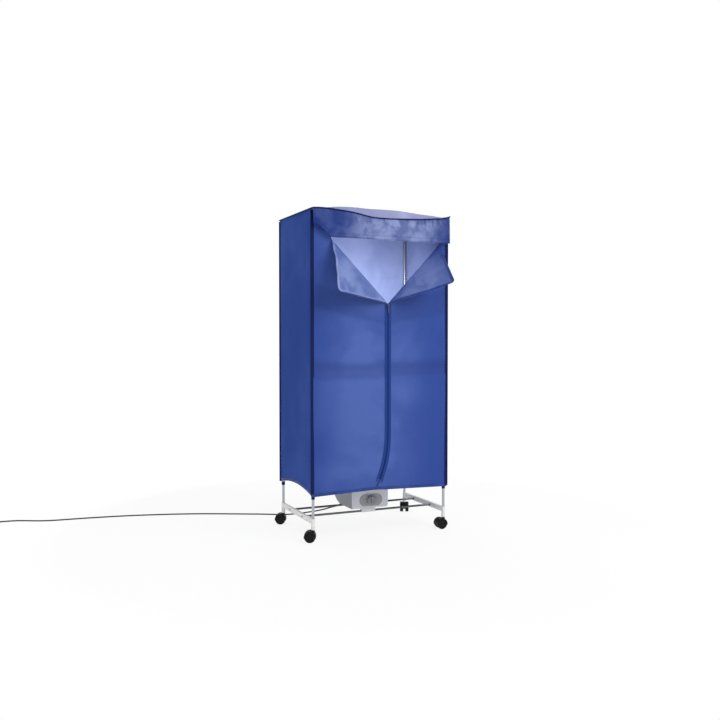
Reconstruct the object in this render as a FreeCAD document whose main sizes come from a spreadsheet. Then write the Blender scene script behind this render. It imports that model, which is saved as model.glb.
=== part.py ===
import FreeCAD, Part
import math
import os
import re
import Sketcher
from FreeCAD import Placement, Rotation, Vector

# A wheeled drying cabinet: a tube frame on four casters, a zipped cloth cover and a warm-air unit.
# Millimetres and degrees, +Z up, front towards -Y, origin on the floor below the middle of the posts.

doc = FreeCAD.newDocument("drying_cabinet")
sheet = doc.addObject("Spreadsheet::Sheet", "sizes")

SIZES = (
    # frame
    ("post_spacing_x", 677, "between the axes of the left and right posts"),
    ("post_spacing_y", 410, "between the axes of the front and rear posts"),
    ("post_radius", 6.5, "outside of the post tubes"),
    ("tube_wall", 0.8, "wall of every steel tube"),
    ("fit_gap", 0.1, "play of a piece seated in another"),
    ("socket_radius", 9, "outside of the sleeves round the posts"),
    ("socket_length", 50, "corner sockets, along Z"),
    ("stem_post_gap", 2, "between the top of a caster stem and the foot of its post"),
    ("stem_reach", 8, "caster stem inside its socket"),
    ("crossbar_width", 16, "crossbar of an end frame, along X"),
    ("crossbar_height", 24, "crossbar of an end frame, along Z"),
    ("crossbar_edge", 3, "rounding of the crossbar's long edges"),
    ("base_rod_radius", 5, "solid rods below the warm-air unit"),
    ("base_rod_spacing", 170, "between the front and the rear rod"),
    ("screw_radius", 2.5, "thread of the crossbar screws"),
    ("screw_depth", 20, "thread inside a base rod"),
    ("screw_head_radius", 4.5, "head of the crossbar screws"),
    ("screw_head_height", 3.2, "head of the crossbar screws"),
    ("screw_recess_radius", 1.7, "hexagon recess, across its corners' circle"),
    ("screw_recess_depth", 1.6, "hexagon recess"),
    ("mid_height", 772, "height of the middle rails"),
    ("mid_sleeve_length", 64, "sleeve that joins the lower and upper post"),
    ("mid_web", 4, "solid web between the lower and upper post"),
    ("rail_radius", 5, "outside of the rails"),
    ("rail_socket_radius", 7.5, "side sockets of the connectors"),
    ("rail_socket_reach", 28, "from the post's axis to the mouth of a side socket"),
    ("rail_seat", 10.5, "from the post's axis to the end of a rail"),
    ("top_height", 1493.5, "height of the top rails"),
    ("top_sleeve_drop", 40, "top connector below the rails' axis"),
    ("top_sleeve_rise", 9, "top connector above the rails' axis"),
    ("top_post_gap", 13.5, "from the upper end of the posts to the rails' axis"),
    ("hanging_rod_count", 4, "rods for hangers"),
    ("hanging_rod_pitch", 135, "between two rods for hangers"),
    ("hanging_rod_radius", 4, "rods for hangers"),
    ("clip_radius", 7.5, "rings that hold the hanging rods on the long rails"),
    ("clip_width", 14, "rings that hold the hanging rods on the long rails"),
    # casters
    ("wheel_radius", 25, "caster wheels"),
    ("wheel_width", 15.6, "one wheel of a twin caster"),
    ("wheel_edge", 1.6, "bevel of the tread's outer edge"),
    ("wheel_dish_radius", 18, "recess in the wheel's outer face"),
    ("wheel_dish_depth", 1.5, "recess in the wheel's outer face"),
    ("wheel_cap_radius", 7.5, "hub cap"),
    ("wheel_cap_wall", 2.2, "hub cap outside the axle's end"),
    ("wheel_side_gap", 0.4, "between a wheel and the web beside it"),
    ("caster_trail", 14, "from the swivel axis to the axle"),
    ("hood_gap", 1.2, "between a wheel and the roof of its hood"),
    ("hood_wall", 1.3, "roof of a caster hood"),
    ("hood_skirt", 6, "hood below the axle"),
    ("boss_rise", 1.5, "boss above the hood"),
    ("hood_web", 12, "web between the wheels"),
    ("boss_radius", 8, "boss round the stem"),
    ("boss_length", 14, "boss round the stem"),
    ("axle_radius", 3, "caster axle"),
    ("wheel_end_wall", 2.6, "wheel outside the axle's end"),
    ("running_gap", 0.08, "radial play of a shaft that turns"),
    ("stem_radius", 3.5, "caster stem"),
    ("stem_depth", 20, "caster stem inside its hood"),
    ("swivel_gap", 0.3, "between a boss and the collar above it"),
    ("stem_collar_radius", 7, "collar between the hood and the socket"),
    ("stem_collar_height", 1.7, "collar between the hood and the socket"),
    ("turn_front_left", 155.7, "way that the front left caster trails, from +X"),
    ("turn_front_right", 175, "way that the front right caster trails"),
    ("turn_rear_left", 155.7, "way that the rear left caster trails"),
    ("turn_rear_right", 65.7, "way that the rear right caster trails"),
    # warm-air unit
    ("unit_width", 190, "housing along X"),
    ("unit_front", 86, "from the middle to the housing's front edge"),
    ("unit_rear", 125, "from the middle to the housing's rear face"),
    ("unit_height", 126, "housing along Z"),
    ("unit_wall", 2.5, "wall of the housing"),
    ("belly_start", 40, "where the flat bottom starts to rise, along Y"),
    ("belly_radius", 130, "rounding of the bottom towards the rear"),
    ("unit_rear_edge", 12, "rounding of the upper rear edge"),
    ("panel_thickness", 4, "front panel"),
    ("panel_corner", 10, "rounding of the front panel's corners"),
    ("dial_x", 4, "middle of the dial, along X"),
    ("dial_rise", 38, "middle of the dial above the housing's bottom"),
    ("dial_width", 120, "oval dial plate"),
    ("dial_tall", 58, "oval dial plate"),
    ("dial_thickness", 1.5, "oval dial plate"),
    ("dial_corner", 28.5, "rounding of the dial plate's ends"),
    ("knob_radius", 22.5, "timer knob"),
    ("knob_height", 16, "timer knob"),
    ("knob_bevel", 3, "timer knob's front edge"),
    ("knob_gap", 0.4, "between the knob and the dial plate"),
    ("grip_width", 7, "ridge across the knob"),
    ("grip_length", 38, "ridge across the knob"),
    ("grip_height", 5, "ridge across the knob"),
    ("spindle_radius", 3, "timer spindle"),
    ("spindle_hole_radius", 5, "hole for the spindle in the panel and the dial plate"),
    ("timer_width", 40, "timer switch along X"),
    ("timer_tall", 34, "timer switch along Z"),
    ("timer_depth", 32, "timer switch along Y"),
    ("spindle_depth", 26, "spindle inside the timer switch"),
    ("spindle_end_gap", 0.5, "between the spindle's end and the bottom of its bore"),
    ("fan_y", 20, "axis of the fan, along Y"),
    ("motor_radius", 30, "fan motor"),
    ("motor_height", 40.5, "fan motor"),
    ("motor_foot_radius", 19, "foot of the fan motor"),
    ("motor_foot_height", 1, "foot of the fan motor"),
    ("shaft_radius", 3, "fan shaft"),
    ("shaft_length", 25, "fan shaft above the motor"),
    ("rotor_gap", 2, "between the motor and the rotor"),
    ("rotor_height", 22, "fan rotor"),
    ("rotor_radius", 50, "fan rotor"),
    ("rotor_hub_radius", 12, "fan rotor"),
    ("rotor_disc", 2, "disc of the fan rotor"),
    ("blade_thickness", 2, "blades of the fan rotor"),
    ("blade_count", 9, "blades of the fan rotor"),
    ("element_rise", 80, "heating element's plate above the housing's bottom"),
    ("element_plate", 2, "heating element's plate"),
    ("element_depth", 160, "heating element's plate along Y"),
    ("element_hole_radius", 48, "air hole of the heating element's plate"),
    ("element_side_gap", 0.2, "between the plate and the housing's walls"),
    ("fin_count", 9, "fins of the heating element"),
    ("fin_pitch", 11, "between two fins"),
    ("fin_thickness", 3, "fins of the heating element"),
    ("fin_length", 112, "fins of the heating element"),
    ("fin_height", 18, "fins of the heating element"),
    ("outlet_radius", 62, "warm-air outlet"),
    ("outlet_wall", 4, "outlet collar"),
    ("outlet_height", 20, "outlet collar above the housing"),
    ("outlet_flange", 14, "flange of the outlet collar beyond its bore"),
    ("outlet_flange_height", 2, "flange of the outlet collar"),
    ("bar_count", 9, "bars of the outlet grille"),
    ("bar_pitch", 12, "between two bars"),
    ("bar_width", 3, "bars of the outlet grille"),
    ("bar_height", 4, "bars of the outlet grille"),
    ("slot_count", 8, "air slots in the housing's rear wall"),
    ("slot_pitch", 12, "between two air slots"),
    ("slot_width", 5, "air slots"),
    ("slot_tall", 36, "air slots"),
    ("slot_rise", 78, "middle of the air slots above the housing's bottom"),
    ("slot_x", -36, "first air slot, along X"),
    ("clip_left", 46, "rod clip, to the left of the middle"),
    ("clip_right", 25, "rod clip, to the right of the middle"),
    ("clip_depth", 18, "rod clip along Y"),
    ("clip_floor", 0.5, "rod clip below its rod"),
    ("rear_clip_rise", 19, "rear clip above the housing's bottom before the belly cuts it"),
    ("gland_x", -12, "cord gland, along X"),
    ("gland_rise", 44, "cord gland above the housing's bottom"),
    ("gland_radius", 6.5, "cord gland outside the housing"),
    ("gland_neck_radius", 5, "cord gland in the wall"),
    ("gland_flange_radius", 8, "cord gland's flange"),
    ("gland_flange", 3, "cord gland's flange"),
    ("gland_length", 12, "cord gland outside the housing"),
    # cord
    ("cord_radius", 3.5, "mains cord"),
    ("plug_neck_radius", 6.5, "plug's strain relief"),
    ("plug_neck_length", 18, "plug's strain relief"),
    ("plug_radius", 18.5, "mains plug"),
    ("plug_length", 34, "mains plug"),
    ("plug_edge", 5, "bevel of the plug's back"),
    ("pin_radius", 2.4, "plug pins"),
    ("pin_length", 19, "plug pins"),
    ("pin_spacing", 19, "between the axes of the plug pins"),
    # cover
    ("cloth", 1.5, "thickness of the cloth with its folds"),
    ("cover_gap", 0.5, "between the cover and the sleeves, and between two cloths"),
    ("roof_gap", 9.5, "from the top rails' axis to the roof cloth's lower face"),
    ("cover_bottom", 212, "height of the hem at the corners of the sides and back"),
    ("side_hem_rise", 26, "rise of a side's hem in its middle"),
    ("front_hem", 206, "height of the front's hem at the corners"),
    ("front_hem_middle", 222, "height of the front's hem at the zip"),
    ("ridge_forward", 26, "how far the zip stands in front of the corners"),
    ("zip_x", 20, "the zip, along X"),
    ("zip_edge_gap", 1, "from the middle of the zip to the cloth's edge"),
    ("vee_bottom", 1083, "height of the point where the front opens"),
    ("vee_gap", 42, "from the top of the open front to the header strip"),
    ("vee_left", 276, "from the zip to the top left of the opening"),
    ("vee_right", 283, "from the zip to the top right of the opening"),
    ("header_height", 76, "header strip along Z"),
    ("header_gap", 15, "header strip below the roof cloth"),
    ("zip_straight_end", 480, "height below which the zip sways to the left"),
    ("zip_sway_radius", 568, "bend of the zip's lower end"),
    ("zip_end", 268, "height of the zip's lower end"),
    ("tape_width", 9, "one row of the zip with its tape"),
    ("tape_thickness", 2, "one row of the zip with its tape"),
    ("row_gap", 0.8, "from the middle of the zip to a row"),
    ("seat_gap", 0.2, "between the zip and the cloth below it"),
    ("stop_height", 6, "stop at the zip's lower end"),
    ("stop_width", 10, "stop at the zip's lower end"),
    ("slider_width", 12, "zip slider along X"),
    ("slider_height", 16, "zip slider along Z"),
    ("slider_thickness", 2.4, "zip slider in front of the rows"),
    ("slider_web", 1, "web of the slider between the rows"),
    ("slider_play", 0.3, "between the slider and the rows"),
    ("lug_radius", 1, "pin that holds the pull"),
    ("slider_pin_drop", 8.5, "pull's pin below the point where the front opens"),
    ("lug_height", 4, "lug that holds the pull, in front of the slider"),
    ("lug_tall", 4.4, "lug that holds the pull, along Z"),
    ("lug_width", 3, "lug that holds the pull, along X"),
    ("pull_length", 34, "zip pull"),
    ("pull_width", 7, "zip pull"),
    ("pull_thickness", 1.6, "zip pull"),
    ("lapel_edge", 325, "unzipped edge of a lapel"),
    ("lapel_gap", 0.3, "between the lapel's rolled edge and the cloth"),
    ("lapel_bow", 9, "bow of a lapel between its fold and its free edge"),
    ("lapel_turn_left", 143, "left lapel, from zipped to where it hangs"),
    ("lapel_turn_right", 117, "right lapel, from zipped to where it hangs"),
    ("overhang", 24, "roof in front of the cover's corners"),
    ("roof_lift", 1, "roof above the frame between the corners"),
    ("roof_crown", 9, "rise of the roof in its middle"),
    ("crest_x", -290, "high point of the front edge, along X"),
    ("crest_rise", 1, "high point of the front edge above the corner"),
    ("turn_x", -220, "where the front edge starts to hang, along X"),
    ("turn_drop", 8, "front edge below the corner at that place"),
    ("flap_drop", 127, "flap's hem below the roof cloth"),
    ("flap_drop_left", 67, "flap's hem below the roof cloth, at its left end"),
    ("flap_forward", 5, "flap's hem in front of the roof's edge"),
    ("flap_wave", 3, "depth of the waves of the flap's hem"),
    ("flap_wave_length", 190, "length of the waves of the flap's hem"),
    ("flap_belly", 1.5, "bulge of the flap half way down"),
    ("flap_stations", 20, "upright strips that the flap's waves are drawn with"),
    ("piping_radius", 2.5, "piping along the roof's edges and the corners"),
    ("piping_gap", 0.3, "between the piping and the cloth"),
    ("floor_cloth_rise", 8, "floor cloth above the warm-air unit"),
    ("floor_hole_gap", 1, "between the outlet collar and the floor cloth"),
    ("floor_notch_gap", 1, "between a post and the floor cloth"),
    ("tab_height", 17, "corner tab round a post"),
    ("tab_wall", 1.8, "corner tab round a post"),
)

for row, (alias, number, meaning) in enumerate(SIZES, start=1):
    sheet.set(f"A{row}", alias)
    sheet.set(f"B{row}", str(number))
    sheet.set(f"C{row}", meaning)
    sheet.setAlias(f"B{row}", alias)
doc.recompute()

ALIASES = {alias for alias, _, _ in SIZES}

# Formulas that several pieces share.
DERIVED = {
    "hood_radius": "wheel_radius + hood_gap + hood_wall",
    "hood_width": "hood_web + 2 * (wheel_side_gap + wheel_width)",
    "hood_top": "wheel_radius + hood_radius + boss_rise",
    "axle_length": "hood_web + 2 * (wheel_width - wheel_end_wall)",
    "stem_bottom": "hood_top - stem_depth",
    "socket_bottom": "hood_top + swivel_gap + stem_collar_height",
    "socket_top": "socket_bottom + socket_length",
    "stem_seat": "socket_bottom + stem_reach",
    "post_seat": "stem_seat + stem_post_gap",
    "base_rod_height": "socket_top - crossbar_height / 2",
    "top_post_end": "top_height - top_post_gap",
    "cover_top": "top_height + roof_gap",
    "header_top": "cover_top - header_gap",
    "header_bottom": "header_top - header_height",
    "vee_top": "header_bottom - vee_gap",
    "flap_hem": "cover_top - flap_drop",
    "flap_hem_left": "cover_top - flap_drop_left",
    "slider_pin_height": "vee_bottom - slider_pin_drop",
    "tab_top": "cover_bottom - cover_gap",
    "dial_height": "unit_bottom + dial_rise",
    "element_height": "unit_bottom + element_rise",
    "slot_height": "unit_bottom + slot_rise",
    "gland_height": "unit_bottom + gland_rise",
    "clip_bottom": "base_rod_height - base_rod_radius - clip_floor",
    "rear_clip_top": "unit_bottom + rear_clip_rise",
    "floor_cloth_height": "unit_top + floor_cloth_rise",
    "post_x": "post_spacing_x / 2",
    "post_y": "post_spacing_y / 2",
    "rod_y": "base_rod_spacing / 2",
    "frame_side": "post_x + crossbar_width / 2",
    "cover_x": "post_x + socket_radius + cover_gap",
    "cover_y": "post_y + socket_radius + cover_gap",
    "unit_bottom": "socket_top",
    "unit_top": "unit_bottom + unit_height",
    "belly_end": "unit_bottom + belly_radius - sqrt(belly_radius^2 - (unit_rear - belly_start)^2)",
    "inner_radius": "belly_radius - unit_wall",
    "inner_rear": "unit_rear - unit_wall",
    "inner_end": "unit_bottom + belly_radius - sqrt(inner_radius^2 - (inner_rear - belly_start)^2)",
    "panel_face": "unit_front + panel_thickness",
    "dial_face": "panel_face + dial_thickness",
    "knob_back": "dial_face + knob_gap",
    "knob_face": "knob_back + knob_height",
    "motor_bottom": "unit_bottom + unit_wall + motor_foot_height",
    "motor_top": "motor_bottom + motor_height",
    "rotor_bottom": "motor_top + rotor_gap",
    "outlet_outer": "outlet_radius + outlet_wall",
    "gland_end": "unit_rear + gland_length",
    "hood_inner": "hood_radius - hood_wall",
}


def expand(formula):
    """Write a formula with the sheet's cells in place of the names of sizes."""
    def cell(match):
        word = match.group(0)
        if word in DERIVED:
            return "(" + expand(DERIVED[word]) + ")"
        return "sizes." + word if word in ALIASES else word
    return re.sub(r"[a-z][a-z_]*", cell, formula)


def value(formula):
    """The number that a formula of sizes gives."""
    return float(sheet.evalExpression(expand(formula)))


nodes = []


def keep(piece, label):
    """Give a finished sub-part its name and list it for export."""
    piece.Label = label
    nodes.append(piece)
    return piece


# ---------------------------------------------------------------- plain solids
TURNS = {
    "x": Rotation(Vector(0, 1, 0), 90),
    "y": Rotation(Vector(1, 0, 0), -90),
    "z": Rotation(),
}


def place(piece, at, turn=Rotation()):
    piece.Placement = Placement(Vector(), turn)
    for axis, formula in zip("xyz", at):
        piece.setExpression(f"Placement.Base.{axis}", expand(formula))


def cylinder(name, radius, start, end, at, along="z"):
    """A round bar from start to end along an axis; `at` gives the other two coordinates in order."""
    bar = doc.addObject("Part::Cylinder", name)
    bar.setExpression("Radius", expand(radius))
    bar.setExpression("Height", expand(f"({end}) - ({start})"))
    spot = list(at)
    spot.insert("xyz".index(along), start)
    place(bar, spot, TURNS[along])
    return bar


def block(name, low, high):
    """A box between two corners."""
    box = doc.addObject("Part::Box", name)
    for side, start, end in zip(("Length", "Width", "Height"), low, high):
        box.setExpression(side, expand(f"({end}) - ({start})"))
    place(box, low)
    return box


def cut(name, base, *tools):
    """The base without each of the tools."""
    tool = tools[0]
    if len(tools) > 1:
        tool = doc.addObject("Part::MultiFuse", name + "_tools")
        tool.Shapes = list(tools)
    result = doc.addObject("Part::Cut", name)
    result.Base = base
    result.Tool = tool
    return result


def fuse(name, *pieces):
    result = doc.addObject("Part::MultiFuse", name)
    result.Shapes = list(pieces)
    return result


def group(name, pieces):
    """Several alike pieces in one sub-part."""
    result = doc.addObject("Part::Compound", name)
    result.Links = list(pieces)
    return result


def tube(name, radius, start, end, at, along="z"):
    """A tube with the common wall."""
    outside = cylinder(name + "_outside", radius, start, end, at, along)
    bore = cylinder(name + "_bore", f"{radius} - tube_wall", start, end, at, along)
    return cut(name, outside, bore)


def inward(side, centre, near, far):
    """Start and end of a stretch that runs from an outer axis towards the middle."""
    if side < 0:
        return f"-({centre}) + ({near})", f"-({centre}) + ({far})"
    return f"{centre} - ({far})", f"{centre} - ({near})"


def signed(side, formula):
    return formula if side > 0 else f"-({formula})"


def solid_feature(name, shape):
    """A sub-part whose shape is worked out directly."""
    feature = doc.addObject("Part::Feature", name)
    feature.Shape = shape
    feature.Placement = Placement()
    return feature


# ---------------------------------------------------------------- sketched bodies
def new_body(name):
    return doc.addObject("PartDesign::Body", name)


def new_sketch(body, name, role, offset="0"):
    """A sketch on one of the body's own planes, moved along its normal."""
    plane = next(item for item in body.Origin.OriginFeatures if item.Role == role)
    sketch = body.newObject("Sketcher::SketchObject", name)
    sketch.AttachmentSupport = [(plane, "")]
    sketch.MapMode = "FlatFace"
    sketch.setExpression("AttachmentOffset.Base.z", expand(offset))
    return sketch


def fix_point(sketch, geometry, point, spot):
    """Tie a point of a sketch to formulas for its two coordinates."""
    for kind, formula in zip(("DistanceX", "DistanceY"), spot):
        index = sketch.addConstraint(Sketcher.Constraint(kind, -1, 1, geometry, point, value(formula)))
        sketch.setExpression(f"Constraints[{index}]", expand(formula))


def fix_radius(sketch, geometry, radius):
    index = sketch.addConstraint(Sketcher.Constraint("Radius", geometry, value(radius)))
    sketch.setExpression(f"Constraints[{index}]", expand(radius))


def add_circle(sketch, radius, x="0", y="0"):
    centre = Vector(value(x), value(y), 0)
    index = sketch.addGeometry(Part.Circle(centre, Vector(0, 0, 1), value(radius)))
    fix_radius(sketch, index, radius)
    fix_point(sketch, index, 3, (x, y))


def add_outline(sketch, corners):
    """A closed outline, anticlockwise. A corner is (x, y), or (x, y, radius) where an arc leaves it."""
    spots = [Vector(value(corner[0]), value(corner[1]), 0) for corner in corners]
    sides = []
    for number, corner in enumerate(corners):
        start, end = spots[number], spots[(number + 1) % len(spots)]
        if len(corner) == 2:
            sides.append(sketch.addGeometry(Part.LineSegment(start, end)))
            continue
        half = (end - start) / 2
        outward = Vector(half.y, -half.x, 0).normalize()
        depth = math.sqrt(value(corner[2]) ** 2 - half.Length ** 2)
        crown = start + half + outward * (value(corner[2]) - depth)
        sides.append(sketch.addGeometry(Part.Arc(start, crown, end)))
    for number, corner in enumerate(corners):
        following = sides[(number + 1) % len(sides)]
        sketch.addConstraint(Sketcher.Constraint("Coincident", sides[number], 2, following, 1))
        fix_point(sketch, sides[number], 1, corner[:2])
        if len(corner) == 3:
            fix_radius(sketch, sides[number], corner[2])


def add_rectangle(sketch, x, y, width, height, radius=None):
    """A rectangle round a middle point, with rounded corners where a radius is given."""
    left, right = f"{x} - {width} / 2", f"{x} + {width} / 2"
    low, high = f"{y} - {height} / 2", f"{y} + {height} / 2"
    if radius is None:
        add_outline(sketch, ((left, low), (right, low), (right, high), (left, high)))
        return
    add_outline(sketch, (
        (f"{left} + {radius}", low), (f"{right} - {radius}", low, radius),
        (right, f"{low} + {radius}"), (right, f"{high} - {radius}", radius),
        (f"{right} - {radius}", high), (f"{left} + {radius}", high, radius),
        (left, f"{high} - {radius}"), (left, f"{low} + {radius}", radius),
    ))


def extrude(kind, body, name, sketch, length, symmetric=False, backwards=False):
    """A Pad or a Pocket of a sketch."""
    feature = body.newObject(f"PartDesign::{kind}", name)
    feature.Profile = sketch
    feature.setExpression("Length", expand(length))
    feature.SideType = "Symmetric" if symmetric else "One side"
    feature.Reversed = backwards
    return feature


def pad(body, name, sketch, length, symmetric=False, backwards=False):
    return extrude("Pad", body, name, sketch, length, symmetric, backwards)


def pocket(body, name, sketch, length, symmetric=False, backwards=False):
    return extrude("Pocket", body, name, sketch, length, symmetric, backwards)


def revolve(body, name, sketch):
    """The sketch turned once round its horizontal axis."""
    feature = body.newObject("PartDesign::Revolution", name)
    feature.Profile = sketch
    feature.ReferenceAxis = (sketch, ["H_Axis"])
    feature.Angle = 360
    return feature


def row_of(body, name, feature, sketch, count, pitch):
    """Copies of a feature along its sketch's horizontal axis."""
    pattern = body.newObject("PartDesign::LinearPattern", name)
    pattern.Originals = [feature]
    pattern.Direction = (sketch, ["H_Axis"])
    pattern.setExpression("Occurrences", expand(count))
    pattern.setExpression("Length", expand(f"({count} - 1) * {pitch}"))
    body.Tip = pattern
    return pattern


# ---------------------------------------------------------------- frame
CORNERS = {
    "front_left": (-1, -1),
    "front_right": (1, -1),
    "rear_left": (-1, 1),
    "rear_right": (1, 1),
}


def make_end_frame(label, side):
    """Two corner sockets and the crossbar between them."""
    body = new_body(label)
    bar = new_sketch(body, label + "_bar", "XZ_Plane")
    add_rectangle(bar, "0", "(socket_top - crossbar_height / 2)", "crossbar_width", "crossbar_height",
                  "crossbar_edge")
    pad(body, label + "_crossbar", bar, "post_spacing_y", symmetric=True)
    sockets = new_sketch(body, label + "_sockets", "XY_Plane", "socket_bottom")
    post_bores = new_sketch(body, label + "_post_bores", "XY_Plane", "socket_top")
    stem_bores = new_sketch(body, label + "_stem_bores", "XY_Plane", "socket_bottom")
    screw_holes = new_sketch(body, label + "_screw_holes", "YZ_Plane")
    for end in (-1, 1):
        add_circle(sockets, "socket_radius", "0", signed(end, "post_y"))
        add_circle(post_bores, "post_radius + fit_gap", "0", signed(end, "post_y"))
        add_circle(stem_bores, "stem_radius + fit_gap", "0", signed(end, "post_y"))
        add_circle(screw_holes, "screw_radius + fit_gap", signed(end, "rod_y"), "base_rod_height")
    pad(body, label + "_socket_walls", sockets, "socket_top - socket_bottom")
    pocket(body, label + "_post_seats", post_bores, "socket_top - post_seat")
    pocket(body, label + "_stem_seats", stem_bores, "stem_seat - socket_bottom", backwards=True)
    pocket(body, label + "_screw_ways", screw_holes, "2 * crossbar_width", symmetric=True)
    place(body, (signed(side, "post_x"), "0", "0"))
    keep(body, label)


def make_base_rod(label, end):
    """A rod between the crossbars, tapped at both ends."""
    body = new_body(label)
    spot = (signed(end, "rod_y"), "base_rod_height")
    section = new_sketch(body, label + "_section", "YZ_Plane")
    add_circle(section, "base_rod_radius", *spot)
    pad(body, label + "_rod", section, "post_spacing_x - crossbar_width", symmetric=True)
    for side in (-1, 1):
        tapping = new_sketch(body, f"{label}_tapping_{side + 1}", "YZ_Plane",
                             signed(side, "post_x - crossbar_width / 2"))
        add_circle(tapping, "screw_radius + fit_gap", *spot)
        pocket(body, f"{label}_thread_{side + 1}", tapping, "screw_depth + fit_gap", backwards=side < 0)
    keep(body, label)


def make_base_rod_screws():
    screws = []
    for corner, (side, end) in CORNERS.items():
        name = f"screw_{corner}"
        spot = (signed(end, "rod_y"), "base_rod_height")
        head_range = inward(side, "frame_side", "-screw_head_height", "0")
        shank_range = inward(side, "frame_side", "0", "crossbar_width + screw_depth")
        recess_end = "screw_recess_depth - screw_head_height"
        recess_range = inward(side, "frame_side", "-screw_head_height", recess_end)
        head = cylinder(name + "_head", "screw_head_radius", *head_range, spot, "x")
        shank = cylinder(name + "_shank", "screw_radius", *shank_range, spot, "x")
        recess = doc.addObject("Part::Prism", name + "_recess")
        recess.Polygon = 6
        recess.setExpression("Circumradius", expand("screw_recess_radius"))
        recess.setExpression("Height", expand("screw_recess_depth"))
        place(recess, (recess_range[0], *spot), TURNS["x"])
        screws.append(cut(name, fuse(name + "_blank", head, shank), recess))
    keep(group("screws", screws), "base_rod_screws")


def make_post(corner, side, end):
    """A lower and an upper tube, joined by the middle connector."""
    at = (signed(side, "post_x"), signed(end, "post_y"))
    lower = tube(f"post_{corner}_lower", "post_radius", "post_seat", "mid_height - mid_web / 2", at)
    upper = tube(f"post_{corner}_upper", "post_radius", "mid_height + mid_web / 2", "top_post_end", at)
    keep(group(f"post_{corner}", [lower, upper]), f"post_{corner}")


def make_connector(name, side, end, height, sleeve, bores):
    """A sleeve on a post with sockets for a long and a side rail."""
    at = (signed(side, "post_x"), signed(end, "post_y"))
    solids = [cylinder(name + "_sleeve", "socket_radius", *sleeve, at)]
    holes = []
    for number, stretch in enumerate(bores):
        holes.append(cylinder(f"{name}_bore_{number}", "post_radius + fit_gap", *stretch, at))
    for axis, which in (("x", side), ("y", end)):
        centre = "post_" + axis
        across = (at[1], height) if axis == "x" else (at[0], height)
        stub = inward(which, centre, "0", "rail_socket_reach")
        seat = inward(which, centre, "rail_seat", "rail_socket_reach")
        solids.append(cylinder(f"{name}_stub_{axis}", "rail_socket_radius", *stub, across, axis))
        holes.append(cylinder(f"{name}_seat_{axis}", "rail_radius + fit_gap", *seat, across, axis))
    return cut(name, fuse(name + "_blank", *solids), *holes)


def make_connectors():
    middle, top = [], []
    half = "mid_sleeve_length / 2"
    for corner, (side, end) in CORNERS.items():
        middle.append(make_connector(
            f"mid_{corner}", side, end, "mid_height",
            (f"mid_height - {half}", f"mid_height + {half}"),
            ((f"mid_height - {half}", "mid_height - mid_web / 2"),
             ("mid_height + mid_web / 2", f"mid_height + {half}"))))
        top.append(make_connector(
            f"top_{corner}", side, end, "top_height",
            ("top_height - top_sleeve_drop", "top_height + top_sleeve_rise"),
            (("top_height - top_sleeve_drop", "top_post_end"),)))
    keep(group("mid_corners", middle), "mid_connectors")
    keep(group("top_corners", top), "top_connectors")


def make_rails(level, height):
    """Two long rails along X and two side rails along Y."""
    long_rails = [
        tube(f"{level}_long_{end + 1}", "rail_radius", "-post_x + rail_seat", "post_x - rail_seat",
             (signed(end, "post_y"), height), "x")
        for end in (-1, 1)
    ]
    side_rails = [
        tube(f"{level}_side_{side + 1}", "rail_radius", "-post_y + rail_seat", "post_y - rail_seat",
             (signed(side, "post_x"), height), "y")
        for side in (-1, 1)
    ]
    keep(group(f"{level}_long", long_rails), f"{level}_rails_long")
    keep(group(f"{level}_side", side_rails), f"{level}_rails_side")


def make_hanging_rods():
    """Rods for hangers, with a ring at each end round a long rail."""
    rods = []
    count = int(value("hanging_rod_count"))
    for number in range(count):
        name = f"hanging_rod_{number + 1}"
        x = f"hanging_rod_pitch * ({number} - (hanging_rod_count - 1) / 2)"
        rod = cylinder(name + "_bar", "hanging_rod_radius", "-post_y", "post_y", (x, "top_height"), "y")
        rings, holes = [], []
        for end in (-1, 1):
            across = (signed(end, "post_y"), "top_height")
            stretch = (f"{x} - clip_width / 2", f"{x} + clip_width / 2")
            rings.append(cylinder(f"{name}_ring_{end + 1}", "clip_radius", *stretch, across, "x"))
            wide = (f"{x} - clip_width", f"{x} + clip_width")
            holes.append(cylinder(f"{name}_hole_{end + 1}", "rail_radius + fit_gap", *wide, across, "x"))
        rods.append(cut(name, fuse(name + "_blank", rod, *rings), *holes))
    keep(group("hangers", rods), "hanging_rods")


# ---------------------------------------------------------------- casters
def turned(turn, x, y):
    """Formulas for a point turned round Z by the sheet's angle."""
    return f"({x}) * cos({turn}) - ({y}) * sin({turn})", f"({x}) * sin({turn}) + ({y}) * cos({turn})"


def place_turned(body, turn, at, extra=0):
    body.Placement = Placement(Vector(), Rotation(Vector(0, 0, 1), value(turn) + extra))
    body.setExpression("Placement.Rotation.Angle", expand(f"{turn} + {extra}"))
    for axis, formula in zip("xyz", at):
        body.setExpression(f"Placement.Base.{axis}", expand(formula))


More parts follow.
